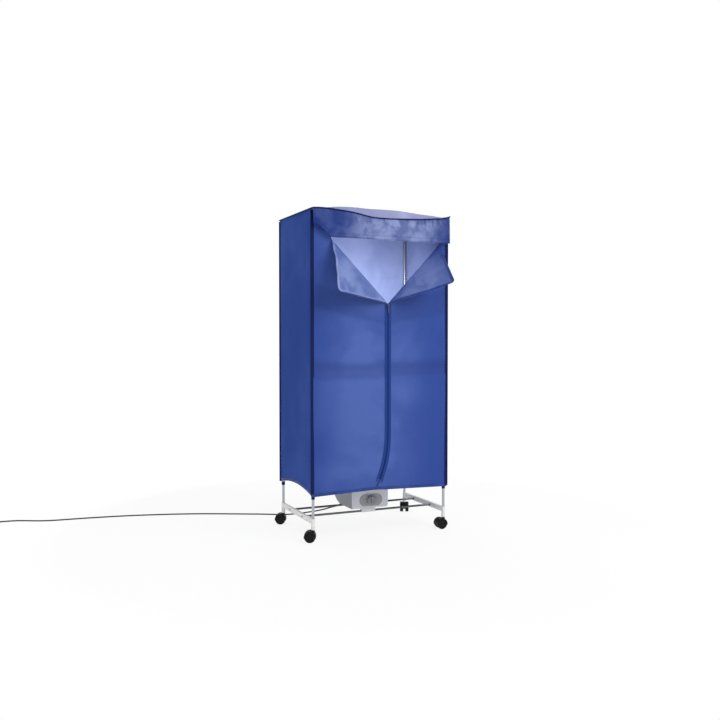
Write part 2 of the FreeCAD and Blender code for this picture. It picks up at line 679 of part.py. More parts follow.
def make_caster_hood(corner, side, end):
    """Hood, boss and axle; the swivel axis is the body's own Z axis and the axle trails along its X."""
    label = f"caster_hood_{corner}"
    body = new_body(label)
    dome = new_sketch(body, label + "_dome", "XZ_Plane")
    add_circle(dome, "hood_radius", "caster_trail", "wheel_radius")
    pad(body, label + "_shell", dome, "hood_width", symmetric=True)
    boss = new_sketch(body, label + "_boss", "XY_Plane", "hood_top - boss_length")
    add_circle(boss, "boss_radius")
    pad(body, label + "_boss_pad", boss, "boss_length")
    below = new_sketch(body, label + "_below", "XZ_Plane")
    add_rectangle(below, "caster_trail", "(wheel_radius - hood_skirt - hood_radius / 2)", "(3 * hood_radius)",
                  "hood_radius")
    pocket(body, label + "_open_foot", below, "2 * hood_width", symmetric=True)
    for face in (-1, 1):
        well = new_sketch(body, f"{label}_well_{face + 1}", "XZ_Plane", signed(face, "hood_web / 2"))
        add_circle(well, "hood_inner", "caster_trail", "wheel_radius")
        pocket(body, f"{label}_wheel_room_{face + 1}", well, "hood_width / 2", backwards=face > 0)
    bore = new_sketch(body, label + "_bore", "XY_Plane", "hood_top")
    add_circle(bore, "stem_radius + running_gap")
    pocket(body, label + "_stem_bore", bore, "hood_top - stem_bottom + running_gap")
    axle = new_sketch(body, label + "_axle", "XZ_Plane")
    add_circle(axle, "axle_radius", "caster_trail", "wheel_radius")
    pad(body, label + "_axle_pin", axle, "axle_length", symmetric=True)
    place_turned(body, f"turn_{corner}", (signed(side, "post_x"), signed(end, "post_y"), "0"))
    keep(body, label)


def make_wheel(corner, side, end, face):
    """A wheel with its inner face at Y = 0, which turns on the axle along Y."""
    label = f"wheel_{corner}_{'outer' if face > 0 else 'inner'}"
    body = new_body(label)
    profile = new_sketch(body, label + "_profile", "YZ_Plane")
    bore_depth = "axle_length / 2 - hood_web / 2"
    add_outline(profile, (
        (bore_depth, "0"),
        (f"{bore_depth} + wheel_cap_wall", "0"),
        (f"{bore_depth} + wheel_cap_wall", "wheel_cap_radius"),
        ("wheel_width - wheel_dish_depth", "wheel_cap_radius"),
        ("wheel_width - wheel_dish_depth", "wheel_dish_radius"),
        ("wheel_width", "wheel_dish_radius"),
        ("wheel_width", "wheel_radius - wheel_edge"),
        ("wheel_width - wheel_edge", "wheel_radius"),
        ("0", "wheel_radius"),
        ("0", "axle_radius + running_gap"),
        (bore_depth, "axle_radius + running_gap"),
    ))
    revolve(body, label + "_turned", profile)
    turn = f"turn_{corner}"
    offset = turned(turn, "caster_trail", signed(face, "hood_web / 2 + wheel_side_gap"))
    at = (f"{signed(side, 'post_x')} + {offset[0]}", f"{signed(end, 'post_y')} + {offset[1]}", "wheel_radius")
    place_turned(body, turn, at, 0 if face > 0 else 180)
    keep(body, label)


def make_caster_stems():
    stems = []
    for corner, (side, end) in CORNERS.items():
        at = (signed(side, "post_x"), signed(end, "post_y"))
        pin = cylinder(f"stem_{corner}_pin", "stem_radius", "stem_bottom", "stem_seat", at)
        collar = cylinder(f"stem_{corner}_collar", "stem_collar_radius", "socket_bottom - stem_collar_height",
                          "socket_bottom", at)
        stems.append(fuse(f"stem_{corner}", pin, collar))
    keep(group("stems", stems), "caster_stems")


# ---------------------------------------------------------------- warm-air unit
def make_heater_housing():
    """A shell that is open at the front, with a rounded belly, an outlet and rear air slots."""
    body = new_body("heater_housing")
    outside = new_sketch(body, "housing_outside", "YZ_Plane")
    add_outline(outside, (
        ("-unit_front", "unit_bottom"), ("belly_start", "unit_bottom", "belly_radius"),
        ("unit_rear", "belly_end"), ("unit_rear", "unit_top - unit_rear_edge", "unit_rear_edge"),
        ("unit_rear - unit_rear_edge", "unit_top"), ("-unit_front", "unit_top"),
    ))
    pad(body, "housing_block", outside, "unit_width", symmetric=True)
    inside = new_sketch(body, "housing_inside", "YZ_Plane")
    add_outline(inside, (
        ("-unit_front - unit_wall", "unit_bottom + unit_wall"),
        ("belly_start", "unit_bottom + unit_wall", "inner_radius"),
        ("inner_rear", "inner_end"),
        ("inner_rear", "unit_top - unit_rear_edge", "(unit_rear_edge - unit_wall)"),
        ("unit_rear - unit_rear_edge", "unit_top - unit_wall"),
        ("-unit_front - unit_wall", "unit_top - unit_wall"),
    ))
    pocket(body, "housing_room", inside, "unit_width - 2 * unit_wall", symmetric=True)
    outlet = new_sketch(body, "housing_outlet", "XY_Plane", "unit_top")
    add_circle(outlet, "outlet_radius", "0", "fan_y")
    pocket(body, "housing_outlet_hole", outlet, "2 * unit_wall")
    gland = new_sketch(body, "housing_gland", "XZ_Plane", "-unit_rear")
    add_circle(gland, "gland_neck_radius + fit_gap", "gland_x", "gland_height")
    pocket(body, "housing_gland_hole", gland, "2 * unit_wall", backwards=True)
    slot = new_sketch(body, "housing_slot", "XZ_Plane", "-unit_rear")
    add_rectangle(slot, "slot_x", "slot_height", "slot_width", "slot_tall")
    first = pocket(body, "housing_first_slot", slot, "2 * unit_wall", backwards=True)
    row_of(body, "housing_slots", first, slot, "slot_count", "slot_pitch")
    keep(body, "heater_housing")


def make_front_panel():
    body = new_body("heater_front_panel")
    face = new_sketch(body, "panel_face", "XZ_Plane", "unit_front")
    add_rectangle(face, "0", "(unit_bottom + unit_height / 2)", "unit_width", "unit_height", "panel_corner")
    pad(body, "panel_plate", face, "panel_thickness")
    hole = new_sketch(body, "panel_hole", "XZ_Plane", "unit_front")
    add_circle(hole, "spindle_hole_radius", "dial_x", "dial_height")
    pocket(body, "panel_spindle_hole", hole, "3 * panel_thickness", symmetric=True)
    keep(body, "heater_front_panel")


def make_dial_plate():
    body = new_body("dial_plate")
    face = new_sketch(body, "dial_outline", "XZ_Plane", "panel_face")
    add_rectangle(face, "dial_x", "dial_height", "dial_width", "dial_tall", "dial_corner")
    add_circle(face, "spindle_hole_radius", "dial_x", "dial_height")
    pad(body, "dial_oval", face, "dial_thickness")
    keep(body, "dial_plate")


def make_timer_switch():
    body = new_body("timer_switch")
    section = new_sketch(body, "timer_section", "XZ_Plane", "unit_front")
    add_rectangle(section, "dial_x", "dial_height", "timer_width", "timer_tall")
    pad(body, "timer_box", section, "timer_depth", backwards=True)
    bore = new_sketch(body, "timer_bore", "XZ_Plane", "unit_front")
    add_circle(bore, "spindle_radius + running_gap", "dial_x", "dial_height")
    pocket(body, "timer_spindle_bore", bore, "spindle_depth + spindle_end_gap")
    keep(body, "timer_switch")


def make_timer_knob():
    """Knob, ridge and spindle, turned round an axis along Y."""
    body = new_body("timer_knob")
    profile = new_sketch(body, "knob_profile", "YZ_Plane")
    add_outline(profile, (
        ("-knob_face", "0"), ("-unit_front + spindle_depth", "0"),
        ("-unit_front + spindle_depth", "spindle_radius"),
        ("-knob_back", "spindle_radius"), ("-knob_back", "knob_radius"),
        ("-knob_face + knob_bevel", "knob_radius"), ("-knob_face", "knob_radius - knob_bevel"),
    ))
    revolve(body, "knob_turned", profile)
    ridge = new_sketch(body, "knob_ridge", "XZ_Plane", "knob_face")
    add_rectangle(ridge, "0", "0", "grip_width", "grip_length")
    pad(body, "knob_grip", ridge, "grip_height")
    place(body, ("dial_x", "0", "dial_height"))
    keep(body, "timer_knob")


def make_fan_motor():
    at = ("0", "fan_y")
    foot = cylinder("motor_foot", "motor_foot_radius", "unit_bottom + unit_wall", "motor_bottom", at)
    can = cylinder("motor_can", "motor_radius", "motor_bottom", "motor_top", at)
    shaft = cylinder("motor_shaft", "shaft_radius", "motor_top - rotor_gap", "motor_top + shaft_length", at)
    keep(fuse("motor", foot, can, shaft), "fan_motor")


def make_fan_rotor():
    body = new_body("fan_rotor")
    hub = new_sketch(body, "rotor_hub", "XY_Plane", "rotor_bottom")
    add_circle(hub, "rotor_hub_radius")
    add_circle(hub, "shaft_radius + running_gap")
    pad(body, "rotor_hub_wall", hub, "rotor_height")
    disc = new_sketch(body, "rotor_disc_outline", "XY_Plane", "rotor_bottom")
    add_circle(disc, "rotor_radius")
    add_circle(disc, "(rotor_hub_radius + shaft_radius) / 2")
    pad(body, "rotor_disc_plate", disc, "rotor_disc")
    blade = new_sketch(body, "rotor_blade", "XY_Plane", "rotor_bottom")
    inner = "(rotor_hub_radius + shaft_radius) / 2"
    add_rectangle(blade, f"(({inner} + rotor_radius) / 2)", "0", f"(rotor_radius - {inner})",
                  "blade_thickness")
    first = pad(body, "rotor_first_blade", blade, "rotor_height")
    pattern = body.newObject("PartDesign::PolarPattern", "rotor_blades")
    pattern.Originals = [first]
    pattern.Axis = (blade, ["N_Axis"])
    pattern.Angle = 360
    pattern.setExpression("Occurrences", expand("blade_count"))
    body.Tip = pattern
    place(body, ("0", "fan_y", "0"))
    keep(body, "fan_rotor")


def make_heating_element():
    """Fins on a plate that spans the housing."""
    body = new_body("heating_element")
    plate = new_sketch(body, "element_outline", "XY_Plane", "element_height")
    add_rectangle(plate, "0", "fan_y", "(unit_width - 2 * unit_wall - 2 * element_side_gap)",
                  "element_depth")
    add_circle(plate, "element_hole_radius", "0", "fan_y")
    pad(body, "element_carrier", plate, "element_plate")
    fin = new_sketch(body, "element_fin", "XY_Plane", "element_height")
    add_rectangle(fin, "(-(fin_count - 1) * fin_pitch / 2)", "fan_y", "fin_thickness", "fin_length")
    first = pad(body, "element_first_fin", fin, "element_plate + fin_height")
    row_of(body, "element_fins", first, fin, "fin_count", "fin_pitch")
    keep(body, "heating_element")


def make_outlet():
    """Collar with a flange and a grille over the warm-air outlet."""
    body = new_body("outlet_grille")
    for name, outer, height in (("flange", "outlet_radius + outlet_flange", "outlet_flange_height"),
                                ("collar", "outlet_outer", "outlet_height")):
        ring = new_sketch(body, f"outlet_{name}", "XY_Plane", "unit_top")
        add_circle(ring, outer, "0", "fan_y")
        add_circle(ring, "outlet_radius", "0", "fan_y")
        pad(body, f"outlet_{name}_wall", ring, height)
    bars = new_sketch(body, "outlet_bars", "XY_Plane", "unit_top + outlet_height - bar_height")
    for number in range(int(value("bar_count"))):
        place_x = f"bar_pitch * ({number} - (bar_count - 1) / 2)"
        reach = f"sqrt((outlet_radius + outlet_wall / 2)^2 - ({place_x})^2)"
        add_rectangle(bars, f"({place_x})", "fan_y", "bar_width", f"(2 * {reach})")
    pad(body, "outlet_bar_row", bars, "bar_height")
    tie = new_sketch(body, "outlet_tie", "XY_Plane", "unit_top + outlet_height - bar_height")
    add_rectangle(tie, "0", "fan_y", "(2 * outlet_radius + outlet_wall)", "bar_width")
    pad(body, "outlet_tie_bar", tie, "bar_height / 2")
    keep(body, "outlet_grille")


def make_rod_clips():
    """Saddles that hang the housing on the two base rods."""
    clips = []
    for end in (-1, 1):
        name = f"clip_{end + 1}"
        middle = signed(end, "rod_y")
        top = "unit_bottom" if end < 0 else "rear_clip_top"
        saddle = block(name + "_saddle", ("-clip_left", f"{middle} - clip_depth / 2", "clip_bottom"),
                       ("clip_right", f"{middle} + clip_depth / 2", top))
        hole = cylinder(name + "_hole", "base_rod_radius + fit_gap", "-2 * clip_left", "2 * clip_left",
                        (middle, "base_rod_height"), "x")
        tools = [hole]
        if end > 0:
            tools.append(cylinder(name + "_belly", "belly_radius + fit_gap", "-2 * clip_left",
                                  "2 * clip_left", ("belly_start", "unit_bottom + belly_radius"), "x"))
        clips.append(cut(name, saddle, *tools))
    keep(group("clips", clips), "rod_clips")


def make_cord_gland():
    at = ("gland_x", "gland_height")
    neck = cylinder("gland_neck", "gland_neck_radius", "unit_rear - 2 * unit_wall", "unit_rear", at, "y")
    flange = cylinder("gland_flange", "gland_flange_radius", "unit_rear", "unit_rear + gland_flange",
                      at, "y")
    sleeve = cylinder("gland_sleeve", "gland_radius", "unit_rear", "gland_end", at, "y")
    keep(fuse("gland", neck, flange, sleeve), "cord_gland")


# ---------------------------------------------------------------- mains cord
def cord_route():
    """The cord's points: out of the gland, down to the floor behind, and away to the left."""
    lie = value("cord_radius") + 0.1
    rise = value("plug_radius") + 0.5
    exit_x, exit_y, exit_z = value("gland_x"), value("gland_end"), value("gland_height")
    falling = ((0, 0, 0), (0, 39, 0), (2, 79, -18), (10, 113, -50), (20, 147, -82), (24, 179, -108),
               (-4, 235, -126), (-30, 254, -138))
    points = [Vector(exit_x + x, exit_y + y, exit_z + z) for x, y, z in falling]
    lying = ((-94, 403), (-155, 390), (-222, 380), (-278, 392), (-328, 420), (-378, 450), (-440, 480),
             (-505, 512), (-570, 545), (-645, 580), (-725, 612), (-810, 641), (-900, 667), (-993, 690),
             (-1088, 708), (-1185, 721), (-1280, 730), (-1370, 735))
    points += [Vector(x, y, lie) for x, y in lying]
    points += [Vector(-1440, 737, lie + 3), Vector(-1505, 738, lie + 10), Vector(-1565, 738, rise),
               Vector(-1625, 738, rise)]
    return points


def cord_path(points):
    """Straight runs joined by tangent arcs, and the arcs' radii."""
    edges, radii, start = [], [], points[0]
    for before, corner, after in zip(points, points[1:], points[2:]):
        arriving, leaving = corner - before, after - corner
        shorter = min(arriving.Length, leaving.Length)
        half_turn = arriving.getAngle(leaving) / 2
        reach = 0.45 * shorter
        radii.append(reach / math.tan(half_turn))
        arriving.normalize()
        leaving.normalize()
        enter, leave = corner - arriving * reach, corner + leaving * reach
        to_middle = (leaving - arriving).normalize()
        crown = corner + to_middle * radii[-1] * (1 / math.cos(half_turn) - 1)
        edges.append(Part.LineSegment(start, enter).toShape())
        edges.append(Part.Arc(enter, crown, leave).toShape())
        start = leave
    edges.append(Part.LineSegment(start, points[-1]).toShape())
    return Part.Wire(edges), radii


def sweep(path, radius):
    """A round solid along a path of joined edges."""
    first = path.Edges[0]
    start = first.valueAt(first.FirstParameter)
    section = Part.Wire(Part.makeCircle(radius, start, first.tangentAt(first.FirstParameter)))
    shell = Part.BRepOffsetAPI.MakePipeShell(path)
    shell.add(section)
    shell.build()
    shell.makeSolid()
    return shell.shape()


def make_cord():
    points = cord_route()
    path, radii = cord_path(points)
    solid = sweep(path, value("cord_radius"))
    expected = math.pi * value("cord_radius") ** 2 * path.Length
    print(f"cord: length {path.Length:.1f} mm, volume / (section x length) {solid.Volume / expected:.4f}")
    print("cord arc radii:", " ".join(f"{radius:.0f}" for radius in radii))
    keep(solid_feature("cord", solid), "mains_cord")
    return points[-1]


def make_plug(end):
    """A round plug beyond the cord's end, its pins pointing along -X."""
    body = new_body("mains_plug")
    profile = new_sketch(body, "plug_profile", "XY_Plane")
    add_outline(profile, (
        ("-plug_neck_length - plug_length", "0"), ("0", "0"), ("0", "cord_radius + plug_neck_radius / 5"),
        ("-plug_neck_length", "plug_neck_radius"), ("-plug_neck_length", "plug_radius - plug_edge"),
        ("-plug_neck_length - plug_edge", "plug_radius"),
        ("-plug_neck_length - plug_length", "plug_radius"),
    ))
    revolve(body, "plug_turned", profile)
    body.Placement = Placement(end, Rotation())
    keep(body, "mains_plug")
    pins = []
    for side in (-1, 1):
        pin = doc.addObject("Part::Cylinder", f"pin_{side + 1}")
        pin.setExpression("Radius", expand("pin_radius"))
        pin.setExpression("Height", expand("pin_length"))
        face = end.x - value("plug_neck_length + plug_length")
        pin.Placement = Placement(Vector(face, end.y + side * value("pin_spacing") / 2, end.z),
                                  Rotation(Vector(0, 1, 0), -90))
        pins.append(pin)
    keep(group("pins", pins), "plug_pins")


# ---------------------------------------------------------------- cover
def polygon(points):
    return Part.makePolygon(list(points) + [points[0]])


def sheet_from(low_wire_points, height_low, height_high):
    """An upright sheet whose plan is a closed polygon."""
    plan = Part.Face(polygon([Vector(x, y, height_low) for x, y in low_wire_points]))
    return plan.extrude(Vector(0, 0, height_high - height_low))


def arc_edge(start, middle, end):
    return Part.Arc(start, middle, end).toShape()


def upright_cut(edges, y_low, y_high):
    """The solid behind an outline in the XZ plane, between two depths."""
    outline = Part.Face(Part.Wire(edges))
    outline.translate(Vector(0, y_low, 0))
    return outline.extrude(Vector(0, y_high - y_low, 0))


def front_surface(x):
    """Depth of the front's outer face: flat from each corner to the ridge at the zip."""
    corner_x = value("cover_x + cloth")
    corner_y = -value("cover_y + cloth")
    ridge = value("zip_x")
    span = corner_x + ridge if x < ridge else corner_x - ridge
    share = 1 - abs(x - ridge) / span
    return corner_y - value("ridge_forward") * share


def sway_point(height, offset):
    """A point beside the zip's middle line, which bends to the left below its straight part."""
    radius = value("zip_sway_radius")
    drop = value("zip_straight_end") - height
    if drop <= 0:
        return Vector(value("zip_x") + offset, 0, height)
    angle = math.asin(drop / radius)
    centre_x = value("zip_x") - radius
    return Vector(centre_x + (radius + offset) * math.cos(angle), 0,
                  value("zip_straight_end") - (radius + offset) * math.sin(angle))


def sway_edges(offset, top, bottom):
    """The zip's line from top to bottom at an offset: a straight run, then an arc."""
    knee = value("zip_straight_end")
    start, bend, end = sway_point(top, offset), sway_point(knee, offset), sway_point(bottom, offset)
    middle = sway_point((knee + bottom) / 2, offset)
    return [Part.LineSegment(start, bend).toShape(), arc_edge(bend, middle, end)]


def make_front_halves():
    """Left and right half of the front, cut away along the fold lines of the lapels."""
    corner_x, corner_y = value("cover_x + cloth"), value("cover_y + cloth")
    ridge_x, thick = value("zip_x"), value("cloth")
    ridge_y = corner_y + value("ridge_forward")
    plan = [(-corner_x, -corner_y), (ridge_x, -ridge_y), (corner_x, -corner_y),
            (corner_x, -corner_y + thick), (ridge_x, -ridge_y + thick), (-corner_x, -corner_y + thick)]
    cloth_sheet = sheet_from(plan, 0, value("cover_top"))
    top = value("header_bottom - cover_gap")
    for side, label in ((-1, "cover_front_left"), (1, "cover_front_right")):
        offset = side * value("zip_edge_gap")
        reach = value("vee_left" if side < 0 else "vee_right")
        fold_top = Vector(ridge_x + side * reach, 0, value("vee_top"))
        edges = sway_edges(offset, value("vee_bottom"), value("front_hem_middle"))
        hem_end = edges[-1].valueAt(edges[-1].LastParameter)
        corners = [hem_end, Vector(side * corner_x, 0, value("front_hem")), Vector(side * corner_x, 0, top),
                   Vector(fold_top.x, 0, top), fold_top, sway_point(value("vee_bottom"), offset)]
        edges += [Part.LineSegment(a, b).toShape() for a, b in zip(corners, corners[1:])]
        outline = upright_cut(edges, -ridge_y - thick, 0)
        keep(solid_feature(label, cloth_sheet.common(outline)), label)


def make_header():
    """Strip of the front between the open corners and the roof, behind the flap."""
    strip = block("header_strip", ("-cover_x - cloth", "-cover_y - cloth", "header_bottom"),
                  ("cover_x + cloth", "-cover_y", "header_top"))
    keep(strip, "cover_front_header")


def make_side(label, side):
    """A side with an arched hem."""
    reach = value("cover_y - cover_gap")
    low, high = value("cover_bottom"), value("cover_top - cover_gap")
    inner = value("cover_x") if side > 0 else -value("cover_x + cloth")
    front, rear = Vector(inner, -reach, low), Vector(inner, reach, low)
    crown = Vector(inner, 0, low + value("side_hem_rise"))
    top_rear, top_front = Vector(inner, reach, high), Vector(inner, -reach, high)
    edges = [arc_edge(front, crown, rear), Part.LineSegment(rear, top_rear).toShape(),
             Part.LineSegment(top_rear, top_front).toShape(), Part.LineSegment(top_front, front).toShape()]
    face = Part.Face(Part.Wire(edges))
    keep(solid_feature(label, face.extrude(Vector(value("cloth"), 0, 0))), label)


def make_back():
    sheet_back = block("back_sheet", ("-cover_x - cloth", "cover_y", "cover_bottom"),
                       ("cover_x + cloth", "cover_y + cloth", "cover_top - cover_gap"))
    keep(sheet_back, "cover_back")


def make_floor_cloth():
    """Floor cloth with a hole for the outlet collar and notches for the posts."""
    reach_x, reach_y = "cover_x - cover_gap", "cover_y - cover_gap"
    cloth_plate = block("floor_plate", (f"-({reach_x})", f"-({reach_y})", "floor_cloth_height"),
                        (reach_x, reach_y, "floor_cloth_height + cloth"))
    stretch = ("floor_cloth_height - cloth", "floor_cloth_height + 2 * cloth")
    holes = [cylinder("floor_outlet", "outlet_outer + floor_hole_gap", *stretch, ("0", "fan_y"))]
    for corner, (side, end) in CORNERS.items():
        at = (signed(side, "post_x"), signed(end, "post_y"))
        holes.append(cylinder(f"floor_{corner}", "post_radius + floor_notch_gap", *stretch, at))
    keep(cut("floor_sheet", cloth_plate, *holes), "cover_floor")


def tangent_arc_middle(start, direction, end):
    """Middle of the arc that leaves start along a direction and ends at end."""
    chord = end - start
    direction = direction.normalize()
    across = (direction * chord.Length - chord * direction.dot(chord) / chord.Length)
    angle = direction.getAngle(chord)
    return start + chord / 2 + across.normalize() * (chord.Length / 2) * math.tan(angle / 2)


def roof_line(y, height, crest_rise, turn_rise):
    """Two tangent arcs across the roof: a short crest at the left, then a long sweep."""
    half = value("cover_x + cloth")
    left, right = Vector(-half, y, height), Vector(half, y, height)
    crest = Vector(value("crest_x"), y, height + crest_rise)
    turn = Vector(value("turn_x"), y, height + turn_rise)
    first = Part.Arc(left, crest, turn)
    direction = first.tangent(first.LastParameter)[0]
    second = Part.Arc(turn, tangent_arc_middle(turn, direction, right), right)
    return [first, second]


def line_height(line, x):
    """Height of a roof line at a place along X: the first arc crowns, the second one hangs."""
    arc, way = (line[0], 1) if x < value("turn_x") else (line[1], -1)
    circle = arc.toShape().Curve
    return circle.Center.z + way * math.sqrt(circle.Radius ** 2 - (x - circle.Center.x) ** 2)


def front_line(forward=0, up=0):
    """The roof's front edge, which hangs between its corners."""
    depth = value("cover_y + cloth + overhang") + forward
    return roof_line(-depth, value("cover_top") + up, value("crest_rise"), -value("turn_drop"))


def strip_section(line, thickness):
    """A closed section from a line and the same line moved up."""
    lower = [arc.toShape() for arc in line]
    upper = [edge.translated(Vector(0, 0, thickness)) for edge in lower]
    up = Vector(0, 0, thickness)
    first, last = line[0].StartPoint, line[1].EndPoint
    return Part.Wire([*lower, Part.LineSegment(last, last + up).toShape(), *reversed(upper),
                      Part.LineSegment(first + up, first).toShape()])


def make_roof():
    """Roof cloth: it hangs along its front edge, lies on the frame and crowns in the middle."""
    top = value("cover_top")
    flat, crown = value("roof_lift"), value("roof_crown")
    hang_crest, hang_turn = value("crest_rise"), -value("turn_drop")
    lines = []
    for share, forward in ((1, 1), (0.4, 0.55), (0.1, 0.15), (0, -0.4)):
        y = -value("cover_y + cloth") - forward * value("overhang")
        lines.append(roof_line(y, top, hang_crest * share + flat * (1 - share),
                               hang_turn * share + flat * (1 - share)))
    for share, depth in ((0.8, -0.5), (1, 0), (0.8, 0.5)):
        lines.append(roof_line(depth * value("cover_y"), top, 0.55 * crown * share, 0.9 * crown * share))
    lines.append(roof_line(value("cover_y + cloth"), top, flat, 1.1 * flat))
    sections = [strip_section(line, value("cloth")) for line in lines]
    keep(solid_feature("cover_roof", Part.makeLoft(sections, True, True)), "cover_roof")


def make_flap():
    """The flap over the open front, hung from the roof's front edge in shallow waves."""
    line, thick = front_line(), value("cloth")
    end_x, level_x = value("cover_x + cloth"), value("vee_left - zip_x")
    hem, hem_left = value("flap_hem"), value("flap_hem_left")
    back = -value("cover_y + cloth + overhang") + thick
    stations = int(value("flap_stations"))
    sections = []
    for number in range(stations + 1):
        x = -end_x + 2 * end_x * number / stations
        rise = max(0, -x - level_x) / (end_x - level_x)
        low = hem + (hem_left - hem) * rise
        high = line_height(line, x) - value("cover_gap")
        wave = value("flap_wave") * math.sin(2 * math.pi * x / value("flap_wave_length"))
        forward = value("flap_forward") * (1 - rise) + wave
        inner_top, inner_hem = Vector(x, back, high), Vector(x, back - forward, low)
        inner_middle = (inner_top + inner_hem) / 2 - Vector(0, value("flap_belly") + wave / 4, 0)
        inner = [inner_top, inner_middle, inner_hem]
        outer = [point - Vector(0, thick, 0) for point in inner]
        sections.append(Part.Wire([
            arc_edge(*inner), Part.LineSegment(inner_hem, outer[2]).toShape(),
            arc_edge(*outer), Part.LineSegment(outer[0], inner_top).toShape(),
        ]))
    keep(solid_feature("cover_flap", Part.makeLoft(sections, True, True)), "cover_valance")


def make_piping():
    """Round piping along the four edges of the roof and down the four corners."""
    beside = "piping_radius + piping_gap"
    line = front_line(forward=value(beside), up=value("cloth / 2"))
    path = Part.Wire([arc.toShape() for arc in line])
    front = solid_feature("piping_front", sweep(path, value("piping_radius")))
    side_x, rear_y = f"cover_x + cloth + {beside}", f"cover_y + cloth + {beside}"
    height = "cover_top + cloth / 2"
    pieces = [front, cylinder("piping_rear", "piping_radius", "-cover_x - cloth", "cover_x + cloth",
                              (rear_y, height), "x")]
    for side in (-1, 1):
        pieces.append(cylinder(f"piping_side_{side + 1}", "piping_radius", "-cover_y - cloth - overhang",
                               "cover_y + cloth", (signed(side, side_x), height), "y"))
    for corner, (side, end) in CORNERS.items():
        diagonal = f"({beside}) / sqrt(2)"
        at = (signed(side, f"cover_x + cloth + {diagonal}"), signed(end, f"cover_y + cloth + {diagonal}"))
        pieces.append(cylinder(f"piping_{corner}", "piping_radius", "cover_bottom",
                               "cover_top - 2 * piping_radius", at))
    keep(group("piping", pieces), "cover_piping")


def make_corner_tabs():
    """Webbing loops that tie the cover's lower corners to the posts."""
    tabs = []
    for corner, (side, end) in CORNERS.items():
        at = (signed(side, "post_x"), signed(end, "post_y"))
        stretch = ("tab_top - tab_height", "tab_top")
        loop = cylinder(f"tab_{corner}_outside", "post_radius + fit_gap + tab_wall", *stretch, at)
        bore = cylinder(f"tab_{corner}_bore", "post_radius + fit_gap", *stretch, at)
        tabs.append(cut(f"tab_{corner}", loop, bore))
    keep(group("tabs", tabs), "corner_tabs")


# ---------------------------------------------------------------- zip
def zip_depth(forward=0):
    """Depth in front of the cloth at the ridge."""
    return -value("cover_y + cloth + ridge_forward + seat_gap") - forward


def make_zip_rows():
    """The two toothed rows with their tapes, and the stop at their lower end."""
    top, bottom = value("vee_bottom"), value("zip_end")
    front = zip_depth(value("tape_thickness"))
    pieces = []
    for side in (-1, 1):
        near, far = side * value("row_gap"), side * value("row_gap + tape_width")
        edges = sway_edges(near, top, bottom) + sway_edges(far, top, bottom)
        for height in (top, bottom):
            edges.append(Part.LineSegment(sway_point(height, near), sway_point(height, far)).toShape())
        ordered = Part.__sortEdges__(edges)
        row_solid = upright_cut(ordered, front, zip_depth())
        pieces.append(solid_feature(f"zip_row_{side + 1}", row_solid))
    reach = value("stop_width / 2")
    high = bottom - value("seat_gap")
    low = high - value("stop_height")
    corners = [sway_point(high, -reach), sway_point(high, reach),
               sway_point(low, reach), sway_point(low, -reach)]
    sides = [Part.LineSegment(a, b).toShape() for a, b in zip(corners, corners[1:] + corners[:1])]
    stop = upright_cut(sides, front, zip_depth())
    pieces.append(solid_feature("zip_stop", stop))
    keep(group("zip", pieces), "zip_chain")


def slider_depths():
    """Depth of the slider's back, its front and the pull's pin."""
    back = "-(cover_y + cloth + ridge_forward + seat_gap + tape_thickness + slider_play)"
    front = f"{back} - slider_thickness"
    return back, front, f"{front} - lug_height / 2"


def make_slider():
    """Slider plate in front of the rows, its web between them, and the lug for the pull."""
    back, front, pin_depth = slider_depths()
    half = "slider_width / 2"
    low, high = "vee_bottom - slider_height - slider_play", "vee_bottom - slider_play"
    plate = block("slider_plate", (f"zip_x - {half}", front, low), (f"zip_x + {half}", back, high))
    web = block("slider_between", ("zip_x - slider_web / 2", back, low),
                ("zip_x + slider_web / 2", f"{back} + slider_play + tape_thickness", high))
    lug = block("slider_lug",
                ("zip_x - lug_width / 2", f"{front} - lug_height", "slider_pin_height - lug_tall / 2"),
                ("zip_x + lug_width / 2", front, "slider_pin_height + lug_tall / 2"))
    hole = cylinder("slider_hole", "lug_radius + running_gap", "zip_x - lug_width", "zip_x + lug_width",
                    (pin_depth, "slider_pin_height"), "x")
    keep(cut("slider", fuse("slider_blank", plate, web, lug), hole), "zip_slider")


def make_pull():
    """Pull with two arms beside the lug and a pin between them."""
    pin_depth = slider_depths()[2]
    half, arm_top = "pull_thickness / 2", "lug_radius + slider_play"
    blade = block("pull_blade",
                  ("zip_x - pull_width / 2", f"{pin_depth} - {half}", "slider_pin_height - pull_length"),
                  ("zip_x + pull_width / 2", f"{pin_depth} + {half}", f"slider_pin_height + {arm_top}"))
    slot = block("pull_slot",
                 ("zip_x - lug_width / 2 - slider_play", f"{pin_depth} - pull_thickness",
                  "slider_pin_height - lug_tall / 2 - 4 * slider_play"),
                 ("zip_x + lug_width / 2 + slider_play", f"{pin_depth} + pull_thickness",
                  f"slider_pin_height + 2 * ({arm_top})"))
    pin = cylinder("pull_pin", "lug_radius", "zip_x - pull_width / 2 + slider_play",
                   "zip_x + pull_width / 2 - slider_play", (pin_depth, "slider_pin_height"), "x")
    keep(fuse("pull", cut("pull_fork", blade, slot), pin), "zip_pull")


